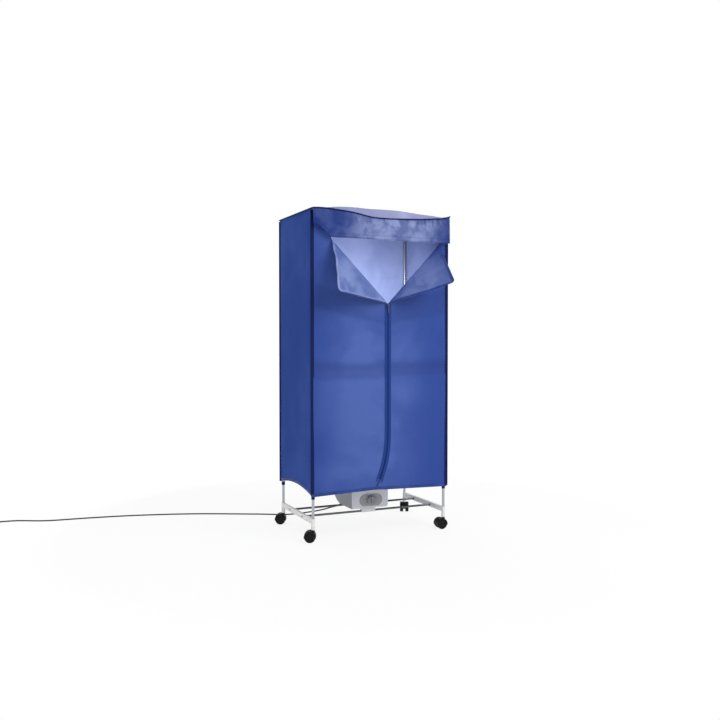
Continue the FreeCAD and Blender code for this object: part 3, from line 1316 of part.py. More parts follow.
# ---------------------------------------------------------------- lapels
def fold_frame(side):
    """Fold line of a lapel: its start, direction, way into the opening, outward normal and length."""
    reach = value("vee_left" if side < 0 else "vee_right")
    low_x, top_x = value("zip_x"), value("zip_x") + side * reach
    start = Vector(low_x, front_surface(low_x), value("vee_bottom"))
    end = Vector(top_x, front_surface(top_x), value("vee_top"))
    along = end - start
    length = along.Length
    along.normalize()
    corner = Vector(side * value("cover_x + cloth"), front_surface(side * value("cover_x + cloth")), 0)
    across = Vector(corner.x - low_x, corner.y - start.y, 0)
    outward = Vector(0, 0, 1).cross(across).normalize()
    if outward.y > 0:
        outward = outward * -1
    into = Vector(0, 0, 1) - along * along.z
    into.normalize()
    return start + outward * value("lapel_gap + cloth / 2"), along, into, outward, length


def make_lapel(label, side, turn):
    """An unzipped corner of the front, folded outwards along its fold line."""
    start, along, into, outward, length = fold_frame(side)
    angle = math.radians(turn)
    way = into * math.cos(angle) + outward * math.sin(angle)
    face = into * -math.sin(angle) + outward * math.cos(angle)
    edge = value("lapel_edge")
    free_corner = along * (edge * along.z) + way * (edge * math.sqrt(1 - along.z ** 2))
    half_thick = value("cloth") / 2
    sections = []
    for share in (0.08, 0.4, 0.7, 1):
        fold_point, free_point = along * (length * share), free_corner * share
        roll = start + fold_point - (free_point - fold_point).normalize() * half_thick
        middle = (fold_point + free_point) / 2 - face * (value("lapel_bow") * share)
        upper = [start + point + face * half_thick for point in (fold_point, middle, free_point)]
        lower = [start + point - face * half_thick for point in (fold_point, middle, free_point)]
        sections.append(Part.Wire([
            arc_edge(*upper), Part.LineSegment(upper[2], lower[2]).toShape(),
            arc_edge(*reversed(lower)), arc_edge(lower[0], roll, upper[0]),
        ]))
    axis = tuple(round(side * number, 6) for number in along)
    print(f"{label}: pivot {tuple(round(number, 3) for number in start)}, axis {axis}")
    keep(solid_feature(label, Part.makeLoft(sections, True, False)), label)


# ---------------------------------------------------------------- the whole cabinet
def build():
    make_end_frame("end_frame_left", -1)
    make_end_frame("end_frame_right", 1)
    make_base_rod("base_rod_front", -1)
    make_base_rod("base_rod_rear", 1)
    make_base_rod_screws()
    for corner, (side, end) in CORNERS.items():
        make_post(corner, side, end)
        make_caster_hood(corner, side, end)
        for face in (1, -1):
            make_wheel(corner, side, end, face)
    make_caster_stems()
    make_connectors()
    make_rails("mid", "mid_height")
    make_rails("top", "top_height")
    make_hanging_rods()
    make_heater_housing()
    make_front_panel()
    make_dial_plate()
    make_timer_switch()
    make_timer_knob()
    make_fan_motor()
    make_fan_rotor()
    make_heating_element()
    make_outlet()
    make_rod_clips()
    make_cord_gland()
    make_plug(make_cord())
    make_front_halves()
    make_header()
    make_side("cover_left_side", -1)
    make_side("cover_right_side", 1)
    make_back()
    make_floor_cloth()
    make_roof()
    make_flap()
    make_piping()
    make_corner_tabs()
    make_zip_rows()
    make_slider()
    make_pull()
    make_lapel("lapel_left", -1, value("lapel_turn_left"))
    make_lapel("lapel_right", 1, value("lapel_turn_right"))


def check():
    """Stop before anything is written if an object failed or a sub-part has no sound shape."""
    failed = [item.Name for item in doc.Objects if {"Invalid", "Error"} & set(item.State)]
    failed += [node.Label for node in nodes if node.Shape.isNull() or not node.Shape.isValid()]
    if failed:
        raise SystemExit("failed: " + ", ".join(failed))


def export():
    os.makedirs("parts", exist_ok=True)
    for node in nodes:
        node.Shape.exportStep(f"parts/{node.Label}.step")
    print(len(nodes), "sub-parts,", sum(len(node.Shape.Solids) for node in nodes), "solids")


build()
doc.recompute()
check()
export()
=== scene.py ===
import math
import bpy
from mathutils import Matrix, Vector, noise
from mathutils.bvhtree import BVHTree


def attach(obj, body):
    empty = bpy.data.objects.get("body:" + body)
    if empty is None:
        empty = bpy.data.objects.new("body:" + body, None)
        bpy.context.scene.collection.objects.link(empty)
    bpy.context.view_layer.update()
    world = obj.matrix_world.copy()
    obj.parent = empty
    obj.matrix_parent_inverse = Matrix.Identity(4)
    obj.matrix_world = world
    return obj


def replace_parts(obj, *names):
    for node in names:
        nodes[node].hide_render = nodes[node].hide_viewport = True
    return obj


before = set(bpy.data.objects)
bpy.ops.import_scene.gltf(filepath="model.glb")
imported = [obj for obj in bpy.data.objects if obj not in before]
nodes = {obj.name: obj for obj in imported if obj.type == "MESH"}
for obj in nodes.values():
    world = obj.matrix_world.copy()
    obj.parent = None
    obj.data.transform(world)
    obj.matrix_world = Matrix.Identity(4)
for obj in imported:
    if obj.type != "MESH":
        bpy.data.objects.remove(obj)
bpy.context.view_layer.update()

# Sizes in metres, as the cabinet is made.
SIDE_X, SIDE_Y = 0.3495, 0.216          # outer faces of the cover
SIDE_HALF = 0.2145                      # half of a side's width
RIDGE, ZIP_X = 0.026, 0.020             # the zip stands forward of the corners
HEM, HEM_FRONT, HEM_ZIP = 0.212, 0.206, 0.222
HEM_WIDE, ON_CLOTH = 0.014, 0.0007      # a hem's width, and how far it stands off its cloth
SIDE_ARCH = 0.026                       # rise of a side's hem
TOP_SEAM, LOOSE_TOP = 1.5022, 1.49      # sides and back end at the first and lie flat above the second
FRONT_TOP, HEADER_LOW, HEADER_TALL = 1.4115, 1.412, 0.0755
ROOF, ROOF_FRONT, ROOF_DEEP = 1.503, -0.240, 0.4555
FOLD_LINE = 0.737                       # where the cover was folded in its box
VEE_LOW, VEE_TOP, VEE_LEFT, VEE_RIGHT = 1.083, 1.370, 0.276, 0.283
ZIP_KNEE, ZIP_SWAY, ZIP_END = 0.480, 0.568, 0.268
FLAP_HEM, FLAP_HEM_LEFT = 1.376, 1.436
LAPEL_EDGE, LAPEL_BOW = 0.325, 0.009
LAPEL_DEEP, LAPEL_HEM = 0.29, 0.0105    # from the fold to the free edge, and the width of its hems
CLOTH_WALL, TAPE_WALL = 0.0012, 0.0006
TOOTH_PITCH = 0.0026
STRIP_HALF, ON_SEAM = 0.012, 0.0009        # half of the dark strip over a corner, and how far it stands off
PIPE_OUT, PIPE_RADIUS = 0.0028, 0.0026  # middle of the roof's piping outside the cover, and its radius
POSTS = [(x, y) for x in (-0.3385, 0.3385) for y in (-0.205, 0.205)]
CORD_ROUTE = [
    (-0.012, 0.137, 0.150), (-0.012, 0.176, 0.150), (-0.010, 0.216, 0.132), (-0.002, 0.250, 0.100),
    (0.008, 0.284, 0.068), (0.012, 0.316, 0.042), (-0.016, 0.372, 0.024), (-0.042, 0.391, 0.012),
    (-0.094, 0.403, 0.0036), (-0.155, 0.390, 0.0036), (-0.222, 0.380, 0.0036), (-0.278, 0.392, 0.0036),
    (-0.328, 0.420, 0.0036), (-0.378, 0.450, 0.0036), (-0.440, 0.480, 0.0036), (-0.505, 0.512, 0.0036),
    (-0.570, 0.545, 0.0036), (-0.645, 0.580, 0.0036), (-0.725, 0.612, 0.0036), (-0.810, 0.641, 0.0036),
    (-0.900, 0.667, 0.0036), (-0.993, 0.690, 0.0036), (-1.088, 0.708, 0.0036), (-1.185, 0.721, 0.0036),
    (-1.280, 0.730, 0.0036), (-1.370, 0.735, 0.0036), (-1.440, 0.737, 0.0066), (-1.505, 0.738, 0.0136),
    (-1.565, 0.738, 0.019), (-1.625, 0.738, 0.019),
]
CORD_LENGTH, CORD_RADIUS = 1.97, 0.0035
HOUSING_REAR = 0.125
DIAL, DIAL_FACE = (0.004, 0.144), 0.0915   # middle of the dial in X and Z, and its face along -Y
KNOB_FACE = 0.1129
TAB_LOW, TAB_HIGH, TUBE_RADIUS, TAB_RADIUS = 0.1945, 0.2115, 0.0065, 0.0084
HAND = {-1: "left", 1: "right"}


# ---- camera
def set_camera():
    data = bpy.data.cameras.new("camera")
    data.sensor_width = 36
    data.lens = 41.38
    camera = bpy.data.objects.new("camera", data)
    camera.location = (-1.678, -3.687, 0.925)
    camera.rotation_euler = (math.radians(88.465), 0, math.radians(-24.305))
    bpy.context.collection.objects.link(camera)
    bpy.context.scene.camera = camera


# ---- shader building
class Graph:
    """Adds nodes to a tree and joins them."""

    def __init__(self, tree):
        self.tree = tree

    def add(self, kind, inputs=None, **settings):
        node = self.tree.nodes.new(kind)
        for name, setting in settings.items():
            setattr(node, name, setting)
        for name, source in (inputs or {}).items():
            self.feed(node.inputs[name], source)
        return node

    def feed(self, socket, source):
        if isinstance(source, bpy.types.NodeSocket):
            self.tree.links.new(source, socket)
        else:
            socket.default_value = source

    def math(self, operation, *terms, kind="Math", **settings):
        node = self.add("ShaderNode" + kind, operation=operation, **settings)
        for socket, term in zip(node.inputs, terms):
            self.feed(socket, term)
        return node.outputs[0]

    def times(self, first, second):
        return self.math("MULTIPLY", first, second)

    def rest(self, share):
        return self.math("SUBTRACT", 1.0, share)

    def vector(self, operation, *terms):
        return self.math(operation, *terms, kind="VectorMath")

    def noise(self, place, scale, detail=2.0, rough=0.5, bend=0.0):
        node = self.add("ShaderNodeTexNoise", {"Vector": place, "Scale": scale, "Detail": detail,
                                              "Roughness": rough, "Distortion": bend})
        return node.outputs["Fac"]

    def mix(self, share, first, second):
        node = self.add("ShaderNodeMix", data_type="RGBA")
        self.feed(node.inputs[0], share)
        self.feed(node.inputs[6], first)
        self.feed(node.inputs[7], second)
        return node.outputs[2]

    def ramp(self, share, low, high):
        node = self.add("ShaderNodeMapRange", {"Value": share, "From Min": low, "From Max": high})
        node.interpolation_type = "SMOOTHSTEP"
        return node.outputs[0]


def shade(red, green, blue):
    """A colour from the 0-255 values that a screen shows."""
    def linear(level):
        level /= 255
        return level / 12.92 if level <= 0.04045 else ((level + 0.055) / 1.055) ** 2.4
    return (linear(red), linear(green), linear(blue), 1)


def scaled(colour, share, more=0.0):
    """A colour made darker or paler."""
    return (*(min(1, share * level + more) for level in colour[:3]), 1)


def new_group(name, inputs, outputs):
    tree = bpy.data.node_groups.new(name, "ShaderNodeTree")
    for label, kind, level in inputs:
        socket = tree.interface.new_socket(name=label, in_out="INPUT", socket_type="NodeSocket" + kind)
        if level is not None:
            socket.default_value = level
    for label in outputs:
        tree.interface.new_socket(name=label, in_out="OUTPUT", socket_type="NodeSocketFloat")
    graph = Graph(tree)
    return graph, graph.add("NodeGroupInput").outputs, graph.add("NodeGroupOutput").inputs


def make_weave():
    """Plain weave: threads pass over and under each other. Place is in metres along the cloth."""
    graph, given, result = new_group("plain weave", (
        ("Place", "Vector", None), ("Pitch", "Float", 0.0009)), ("Height", "Gap"))
    turns = graph.vector("DIVIDE", given["Place"], graph.add(
        "ShaderNodeCombineXYZ", {0: given["Pitch"], 1: given["Pitch"], 2: 1.0}).outputs[0])
    parts = graph.add("ShaderNodeSeparateXYZ", {0: turns}).outputs
    across = graph.math("SINE", graph.times(parts[0], math.pi))
    along = graph.math("SINE", graph.times(parts[1], math.pi))
    over = graph.times(across, along)
    graph.feed(result["Height"], graph.math("MULTIPLY_ADD", over, 0.5, 0.5))
    crossing = graph.math("MAXIMUM", graph.math("ABSOLUTE", across), graph.math("ABSOLUTE", along))
    graph.feed(result["Gap"], graph.rest(graph.ramp(crossing, 0.2, 0.7)))
    return graph.tree


def make_creases():
    """Soft creases of handled cloth: long ridges on broad swells, and broad patches of painted sheen."""
    graph, given, result = new_group("soft creases", (
        ("Place", "Vector", None), ("Size", "Float", 6.0), ("Bend", "Float", 0.8)), ("Height", "Sheen"))
    swell = graph.noise(given["Place"], given["Size"], 3.0, 0.55, given["Bend"])
    slope = graph.math("ABSOLUTE", graph.math("MULTIPLY_ADD", swell, 2.0, -1.0))
    sharp = graph.math("POWER", graph.rest(slope), 6.0)
    graph.feed(result["Height"], graph.math("ADD", graph.times(sharp, 0.45), swell))
    broad = graph.noise(graph.vector("ADD", given["Place"], (3.1, 1.7, 0.4)), given["Size"], 2.0, 0.6, 0.4)
    graph.feed(result["Sheen"], graph.ramp(broad, 0.35, 0.68))
    return graph.tree


def make_stitches():
    """A row of stitches: 1 on a thread. Across is the distance from the row's line."""
    graph, given, result = new_group("stitch row", (
        ("Along", "Float", 0.0), ("Across", "Float", 0.0), ("Pitch", "Float", 0.0045),
        ("Thread", "Float", 0.0007)), ("Mask", "Height"))
    share = graph.math("FRACT", graph.math("DIVIDE", given["Along"], given["Pitch"]))
    length = graph.math("LESS_THAN", graph.math("ABSOLUTE", graph.math("SUBTRACT", share, 0.5)), 0.38)
    near = graph.math("DIVIDE", graph.math("ABSOLUTE", given["Across"]), given["Thread"])
    width = graph.rest(graph.ramp(near, 0.7, 1.0))
    graph.feed(result["Mask"], graph.times(length, width))
    dent = graph.rest(graph.ramp(near, 0.5, 4.0))
    graph.feed(result["Height"], graph.times(dent, -1.0))
    return graph.tree


def make_grain():
    """Fine grain of moulded plastic or powder coat, with faint large blotches."""
    graph, given, result = new_group("surface grain", (
        ("Place", "Vector", None), ("Size", "Float", 900.0)), ("Height", "Tone", "Smudge"))
    graph.feed(result["Height"], graph.noise(given["Place"], given["Size"], 2.0, 0.6))
    graph.feed(result["Tone"], graph.noise(given["Place"], 40.0, 3.0, 0.6))
    smudge = graph.noise(graph.vector("ADD", given["Place"], (0.7, 2.3, 5.1)), 14.0, 4.0, 0.65, 0.6)
    graph.feed(result["Smudge"], graph.ramp(smudge, 0.42, 0.72))
    return graph.tree


def make_drawn_lines():
    """Fine lines left by drawing or brushing metal. Stretch squeezes them across their run."""
    graph, given, result = new_group("drawn lines", (
        ("Place", "Vector", None), ("Stretch", "Vector", (600.0, 600.0, 4.0))), ("Height", "Tone"))
    lines = graph.noise(graph.vector("MULTIPLY", given["Place"], given["Stretch"]), 1.0, 3.0, 0.7)
    graph.feed(result["Height"], lines)
    graph.feed(result["Tone"], graph.ramp(lines, 0.3, 0.7))
    return graph.tree


WEAVE, CREASES, STITCHES = make_weave(), make_creases(), make_stitches()
GRAIN, DRAWN = make_grain(), make_drawn_lines()


def new_material(name, **settings):
    """A material with its shader's plain values set; returns it with its graph, shader and places."""
    material = bpy.data.materials.new(name)
    material.use_nodes = True
    graph = Graph(material.node_tree)
    shader = material.node_tree.nodes["Principled BSDF"]
    for label, level in settings.items():
        shader.inputs[label.replace("_", " ")].default_value = level
    return material, graph, shader, graph.add("ShaderNodeTexCoord").outputs


def effect(graph, tree, inputs):
    node = graph.add("ShaderNodeGroup")
    node.node_tree = tree
    for label, source in inputs.items():
        graph.feed(node.inputs[label], source)
    return node.outputs


def coat(graph, shader, colour, rough, height, depth):
    """Colour, roughness and a relief whose height of 1 is depth metres."""
    relief = graph.add("ShaderNodeBump", {"Height": height, "Distance": depth, "Strength": 1.0})
    for label, source in (("Base Color", colour), ("Roughness", rough), ("Normal", relief.outputs[0])):
        graph.feed(shader.inputs[label], source)


def cover_cloth(name, deep, light, creases=6.0, relief=0.0016, rough=(0.5, 0.66), bend=0.8,
                stitch_rows=(), painted_sheen_band=None, puckers_with_painted_shade=None, gloss=0.22, painted_shade_zones=()):
    """Coated woven cloth: blotches of painted sheen, soft creases, a fine weave, and any rows of stitches.

    A painted sheen is paler round one place along X and fades over its reach; pucker folds lie
    above one height, dented and darkened with painted shade; painted shade lies between two heights, which
    rise away from the zip by their slope."""
    material, graph, shader, place = new_material(name, Sheen_Weight=0.2 * gloss, Sheen_Roughness=0.4,
                                                  Specular_IOR_Level=gloss)
    soft = effect(graph, CREASES, {"Place": place["Object"], "Size": creases, "Bend": bend})
    threads = effect(graph, WEAVE, {"Place": place["UV"]})
    mottle = graph.noise(place["Object"], 55.0, 3.0, 0.65)
    # painted sheen patches and random mottle move the colour toward its paler tone
    share = graph.math("ADD", graph.times(soft["Sheen"], 0.75),
                       graph.times(mottle, 0.3), use_clamp=True)
    there = graph.add("ShaderNodeSeparateXYZ", {0: place["Object"]}).outputs
    # painted sheen: the colour is made paler round one place along X
    if painted_sheen_band:
        aside = graph.math("ABSOLUTE", graph.math("SUBTRACT", there[0], painted_sheen_band[0]))
        near = graph.rest(graph.ramp(aside, 0.2 * painted_sheen_band[1], painted_sheen_band[1]))
        share = graph.times(share, graph.math("MULTIPLY_ADD", near, 0.85, 0.15))
        share = graph.math("MULTIPLY_ADD", near, 0.3, share, use_clamp=True)
    colour = graph.mix(share, deep, light)
    colour = graph.mix(graph.times(threads["Gap"], 0.25), colour, scaled(deep, 0.6))
    height = graph.math("MULTIPLY_ADD", threads["Height"], 0.03, soft["Height"])
    # painted shade: the colour darkens between two heights, along the box fold's crease and below the
    # lapels, where shade falls
    for low, high, slope, strength in painted_shade_zones:
        aside = graph.math("ABSOLUTE", graph.math("SUBTRACT", there[0], ZIP_X))
        level = graph.math("MULTIPLY_ADD", aside, -slope, there[2])
        level = graph.math("MULTIPLY_ADD", soft["Sheen"], 0.02, level)
        painted_shade_mask = graph.math("SUBTRACT", graph.ramp(level, low - 0.015, low + 0.015),
                          graph.ramp(level, high - 0.02, high + 0.02))
        colour = graph.mix(graph.times(painted_shade_mask, strength), colour, scaled(deep, 0.7))
    if puckers_with_painted_shade:
        # pucker folds: a dent in the relief, and painted shade darkening their colour
        narrow = graph.noise(graph.vector("MULTIPLY", place["Object"], (75.0, 30.0, 14.0)), 1.0, 2.0, 0.5)
        fold = graph.times(graph.ramp(narrow, 0.56, 0.70), graph.ramp(there[2], *puckers_with_painted_shade))
        colour = graph.mix(graph.times(fold, 0.75), colour, shade(40, 54, 112))
        height = graph.math("MULTIPLY_ADD", fold, -0.4, height)
    if stitch_rows:
        parts = graph.add("ShaderNodeSeparateXYZ", {0: place["UV"]}).outputs
        for row_place in stitch_rows:
            stitches = effect(graph, STITCHES, {"Along": parts[0],
                                                "Across": graph.math("SUBTRACT", parts[1], row_place)})
            colour = graph.mix(graph.times(stitches["Mask"], 0.8), colour, shade(22, 38, 96))
            height = graph.math("MULTIPLY_ADD", stitches["Height"], 0.22, height)
    dull = graph.math("MULTIPLY_ADD", share, rough[0] - rough[1], rough[1])
    coat(graph, shader, colour, dull, height, relief)
    return material


def tape_cloth(name, colour):
    """Ribbed narrow tape."""
    material, graph, shader, place = new_material(name, Specular_IOR_Level=0.08)
    threads = effect(graph, WEAVE, {"Place": place["UV"], "Pitch": 0.0012})
    mottle = graph.noise(place["Object"], 70.0, 3.0, 0.6)
    tone = graph.mix(graph.times(mottle, 0.5), colour, scaled(colour, 1.4))
    tone = graph.mix(graph.times(threads["Gap"], 0.5), tone, scaled(colour, 0.5))
    coat(graph, shader, tone, graph.math("MULTIPLY_ADD", mottle, 0.2, 0.55), threads["Height"], 0.00025)
    return material


def plastic(name, colour, rough=0.45, relief=0.00006, size=900.0, **settings):
    """Moulded plastic or powder coat with a fine grain."""
    material, graph, shader, place = new_material(name, **settings)
    grain = effect(graph, GRAIN, {"Place": place["Object"], "Size": size})
    tone = graph.mix(grain["Tone"], colour, scaled(colour, 1.12, 0.004))
    dull = graph.math("MULTIPLY_ADD", grain["Smudge"], 0.14, rough - 0.04)
    coat(graph, shader, tone, dull, grain["Height"], relief)
    return material


def metal(name, colour, rough, stretch=(700.0, 700.0, 5.0)):
    """Drawn or plated metal; its lines run where the stretch is small."""
    material, graph, shader, place = new_material(name, Metallic=1.0)
    lines = effect(graph, DRAWN, {"Place": place["Object"], "Stretch": stretch})
    grain = effect(graph, GRAIN, {"Place": place["Object"], "Size": 60.0})
    share = graph.math("MULTIPLY_ADD", grain["Smudge"], 0.45, graph.times(lines["Tone"], 0.3))
    tone = graph.mix(share, colour, scaled(colour, 0.72))
    coat(graph, shader, tone, graph.math("MULTIPLY_ADD", share, 0.22, rough), lines["Height"], 0.00001)
    return material


# Front cloth: a painted sheen round its middle, and painted shade above the box fold and below the lapels.
FRONT = cover_cloth("front cloth", shade(44, 70, 146), shade(76, 100, 172), 3.2, 0.0020,
                    painted_sheen_band=(-0.05, 0.34), gloss=0.15,
                    painted_shade_zones=((0.754, 0.826, 0.0, 0.42), (0.985, 1.10, 0.23, 0.36)))
# Sides and back: the front's cloth as a painted shaded copy, darker than the front.
SHADED_SIDE_CLOTH = cover_cloth("side cloth painted shaded", shade(30, 63, 142), shade(42, 76, 156), 2.6, 0.0012,
                   (0.62, 0.72), gloss=0.08)
# Roof: the cover's blue cloth painted pale, a painted sheen standing in for grazing reflection.
ROOF_PAINTED_SHEEN = cover_cloth("roof cloth painted pale for sheen", shade(136, 142, 184), shade(168, 174, 210), 4.0, 0.0020,
                         (0.7, 0.8), gloss=0.0)
# Flap: painted light in its colours, a painted shaded tone at its ends and a painted sheen tone round its
# middle.
FLAP_LOOK = dict(creases=13.0, relief=0.0024, rough=(0.42, 0.6), bend=1.1, painted_sheen_band=(0.06, 0.32), gloss=0.14)
FLAP_SHADED_TONE, FLAP_SHEEN_TONE = shade(14, 47, 120), shade(130, 142, 190)
FLAP = cover_cloth("flap cloth", FLAP_SHADED_TONE, FLAP_SHEEN_TONE, puckers_with_painted_shade=(1.435, 1.475), **FLAP_LOOK)
FLAP_HEM_CLOTH = cover_cloth("flap hem", FLAP_SHADED_TONE, FLAP_SHEEN_TONE, stitch_rows=(0.0025, 0.0175),
                             **FLAP_LOOK)
LINING = cover_cloth("lining", shade(122, 136, 178), shade(142, 154, 194), 6.0, 0.0014, (0.5, 0.64))
# Lapel lining: a painted lit copy for the left lapel, and a painted shaded copy with a painted sheen for
# the right.
LAPEL_LINING_PAINTED_LIT = cover_cloth("left lapel lining painted lit", shade(76, 97, 162), shade(124, 141, 194), 8.0, 0.0026,
                          (0.42, 0.58), 1.3)
LAPEL_LINING_PAINTED_SHADED = cover_cloth("right lapel lining painted shaded", shade(46, 72, 142), shade(104, 121, 182), 7.0, 0.0026,
                           (0.42, 0.58), 1.3, painted_sheen_band=(0.15, 0.16))
HEM_CLOTH = cover_cloth("hem", shade(36, 56, 122), shade(54, 78, 150), 10.0, 0.0008,
                        stitch_rows=(0.0025, 0.012))
# Hem of the left lapel: the hem cloth as a painted lit copy.
HEM_PAINTED_LIT = cover_cloth("left lapel hem painted lit", shade(114, 131, 188), shade(142, 157, 207), 10.0, 0.0008,
                       stitch_rows=(0.002, 0.0085))
NAVY = tape_cloth("navy binding", shade(20, 32, 84))
ZIP_TAPE = tape_cloth("zip tape", shade(36, 63, 130))
# Zip tapes on the lapels: a painted lit copy for the left lapel, a painted shaded copy for the right.
LAPEL_TAPE_PAINTED_LIT = tape_cloth("lapel tape painted lit", shade(118, 134, 188))
LAPEL_TAPE_PAINTED_SHADED = tape_cloth("lapel tape painted shaded", shade(60, 84, 154))
FLOOR_CLOTH = cover_cloth("floor cloth", shade(48, 70, 132), shade(66, 88, 152), 5.0, 0.0014)
TEETH = plastic("zip teeth", shade(10, 32, 92), 0.5, Specular_IOR_Level=0.1)
SLIDER = plastic("slider enamel", shade(34, 44, 84), 0.28, 0.00002, 300.0, Coat_Weight=0.4)
WHITE = plastic("white powder coat", shade(228, 228, 226), 0.42, 0.00005, 500.0, Coat_Weight=0.1)
JOINT = plastic("white joint plastic", shade(222, 223, 222), 0.45)
TUBE = metal("plated tube", shade(184, 185, 188), 0.24)
CROSS_TUBE = metal("plated rail", shade(196, 198, 204), 0.24, (5.0, 700.0, 700.0))
DARK_ROD = metal("dark plated rod", shade(92, 94, 98), 0.14, (5.0, 900.0, 900.0))
ZINC = metal("zinc", shade(176, 178, 182), 0.34, (40.0, 40.0, 40.0))
BRASS = metal("plated brass", shade(214, 208, 188), 0.22, (8.0, 500.0, 500.0))
HOOD = plastic("black nylon hood", shade(11, 11, 12), 0.5, 0.00004, 700.0, Specular_IOR_Level=0.15)
TREAD = plastic("black nylon wheel", shade(14, 14, 15), 0.55, 0.00006, 500.0, Specular_IOR_Level=0.15)
CASE = plastic("grey housing", shade(158, 160, 164), 0.5, 0.00010, 1100.0)
PANEL = plastic("pale front panel", shade(220, 221, 224), 0.4, 0.00005, 1200.0)
DIAL_GREY = plastic("grey dial plate", shade(160, 161, 162), 0.45, 0.00004, 1200.0)
KNOB = plastic("grey knob", shade(144, 145, 148), 0.38, 0.00003, 900.0)
MARK = plastic("white mark", shade(232, 232, 232), 0.5)
RUBBER = plastic("black cord", shade(24, 24, 26), 0.46, 0.00003, 1500.0)
DARK = plastic("dark inner plastic", shade(40, 40, 42), 0.5)
MOTOR = plastic("dark motor paint", shade(86, 88, 94), 0.4, 0.00004, 500.0)
FINS = metal("bare fins", shade(190, 192, 196), 0.35, (30.0, 30.0, 300.0))

PAINT = {
    TUBE: ("post_",),
    CROSS_TUBE: ("mid_rails", "top_rails", "hanging_rods"),
    WHITE: ("end_frame",),
    JOINT: ("mid_connectors", "top_connectors"),
    DARK_ROD: ("base_rod_front", "base_rod_rear"),
    ZINC: ("base_rod_screws", "caster_stems"),
    HOOD: ("caster_hood",),
    TREAD: ("wheel_",),
    CASE: ("heater_housing", "outlet_grille"),
    PANEL: ("heater_front_panel", "rod_clips"),
    DIAL_GREY: ("dial_plate",),
    KNOB: ("timer_knob",),
    DARK: ("timer_switch", "fan_rotor"),
    MOTOR: ("fan_motor",),
    FINS: ("heating_element",),
    RUBBER: ("mains_plug",),
    BRASS: ("plug_pins",),
    SLIDER: ("zip_slider", "zip_pull"),
}


def paint_nodes():
    """Materials of the nodes that stay: each material with the starts of their names."""
    for material, starts in PAINT.items():
        for name, node in nodes.items():
            if name.startswith(starts):
                for place in node.material_slots:
                    place.material = material


# ---- floor and light
def seen_rays(graph):
    """1 where the camera, a reflection or a see-through ray looks."""
    rays = graph.add("ShaderNodeLightPath").outputs
    return graph.math("MAXIMUM", rays["Is Camera Ray"], graph.math(
        "MAXIMUM", rays["Is Glossy Ray"], rays["Is Transmission Ray"]))


def set_world():
    world = bpy.data.worlds.new("studio")
    bpy.context.scene.world = world
    world.use_nodes = True
    world.node_tree.nodes.clear()
    graph = Graph(world.node_tree)
    lit = graph.add("ShaderNodeBackground", {"Color": (1, 1, 1, 1), "Strength": 0.62}).outputs[0]
    white = graph.add("ShaderNodeBackground", {"Color": (1, 1, 1, 1), "Strength": 1.0}).outputs[0]
    share = seen_rays(graph)
    graph.add("ShaderNodeOutputWorld", {
        "Surface": graph.add("ShaderNodeMixShader", {0: share, 1: lit, 2: white}).outputs[0]})


def set_floor():
    """A white floor whose far part is plain white; the object's shadow stays on the near part."""
    bpy.ops.mesh.primitive_plane_add(size=60, location=(0, 0, -0.0002))
    floor = bpy.context.object
    floor.name = "floor"
    material = bpy.data.materials.new("studio floor")
    material.use_nodes = True
    material.node_tree.nodes.clear()
    graph = Graph(material.node_tree)
    place = graph.add("ShaderNodeTexCoord").outputs["Object"]
    away = graph.add("ShaderNodeVectorMath", {0: place}, operation="LENGTH").outputs["Value"]
    lit = graph.add("ShaderNodeBsdfDiffuse", {"Color": (0.93, 0.93, 0.93, 1)}).outputs[0]
    white = graph.add("ShaderNodeEmission", {"Color": (1, 1, 1, 1), "Strength": 1.0}).outputs[0]
    pale = graph.math("MAXIMUM", graph.ramp(away, 0.75, 1.6), 0.87)
    share = graph.times(seen_rays(graph), pale)
    graph.add("ShaderNodeOutputMaterial", {
        "Surface": graph.add("ShaderNodeMixShader", {0: share, 1: lit, 2: white}).outputs[0]})
    floor.data.materials.append(material)


def add_lamp(name, place, aim, size, power):
    data = bpy.data.lights.new(name, "AREA")
    data.size = size
    data.energy = power
    lamp = bpy.data.objects.new(name, data)
    lamp.location = place
    lamp.rotation_euler = (Vector(aim) - Vector(place)).to_track_quat("-Z", "Y").to_euler()
    lamp.visible_camera = False
    bpy.context.collection.objects.link(lamp)


def set_lamps():
    add_lamp("key lamp", (1.9, -3.2, 3.4), (0, 0, 0.9), 2.4, 95)
    add_lamp("fill lamp", (-3.0, -2.2, 1.8), (0, 0, 0.8), 2.2, 14)
    add_lamp("back lamp", (0.2, 2.6, 3.2), (0, 0, 1.3), 2.0, 32)
    add_lamp("chamber lamp", (0, -0.12, 1.02), (0, 0.2, 1.02), 0.5, 4.2)


# ---- shapes and pieces
def smooth(share):
    """0 to 1 with a soft start and end."""
    share = min(1, max(0, share))
    return share * share * (3 - 2 * share)


def hump(x, middle, reach):
    """1 at the middle, and fading to both sides."""
    return math.exp(-((x - middle) / reach) ** 2)


def ridge(distance, reach):
    """A sharp 1 at no distance, and fading away from it."""
    return math.exp(-abs(distance) / reach)


def ripple(x, y, z, seed):
    """Noise round 0; each seed has its own."""
    return noise.noise(Vector((x, y, z)) + Vector((seed * 1.7, seed * 3.1, seed * 0.9)))


def settle(piece, body):
    """Give a piece its body."""
    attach(piece, body)
    return piece


def pick(piece):
    bpy.ops.object.select_all(action="DESELECT")
    piece.select_set(True)
    bpy.context.view_layer.objects.active = piece


def turn_outward(weld=False):
    """Turn the active piece's faces outward, and first join the points that share a place."""
    bpy.ops.object.mode_set(mode="EDIT")
    bpy.ops.mesh.select_all(action="SELECT")
    if weld:
        bpy.ops.mesh.remove_doubles(threshold=0.00001)
    bpy.ops.mesh.normals_make_consistent(inside=False)
    bpy.ops.object.mode_set(mode="OBJECT")


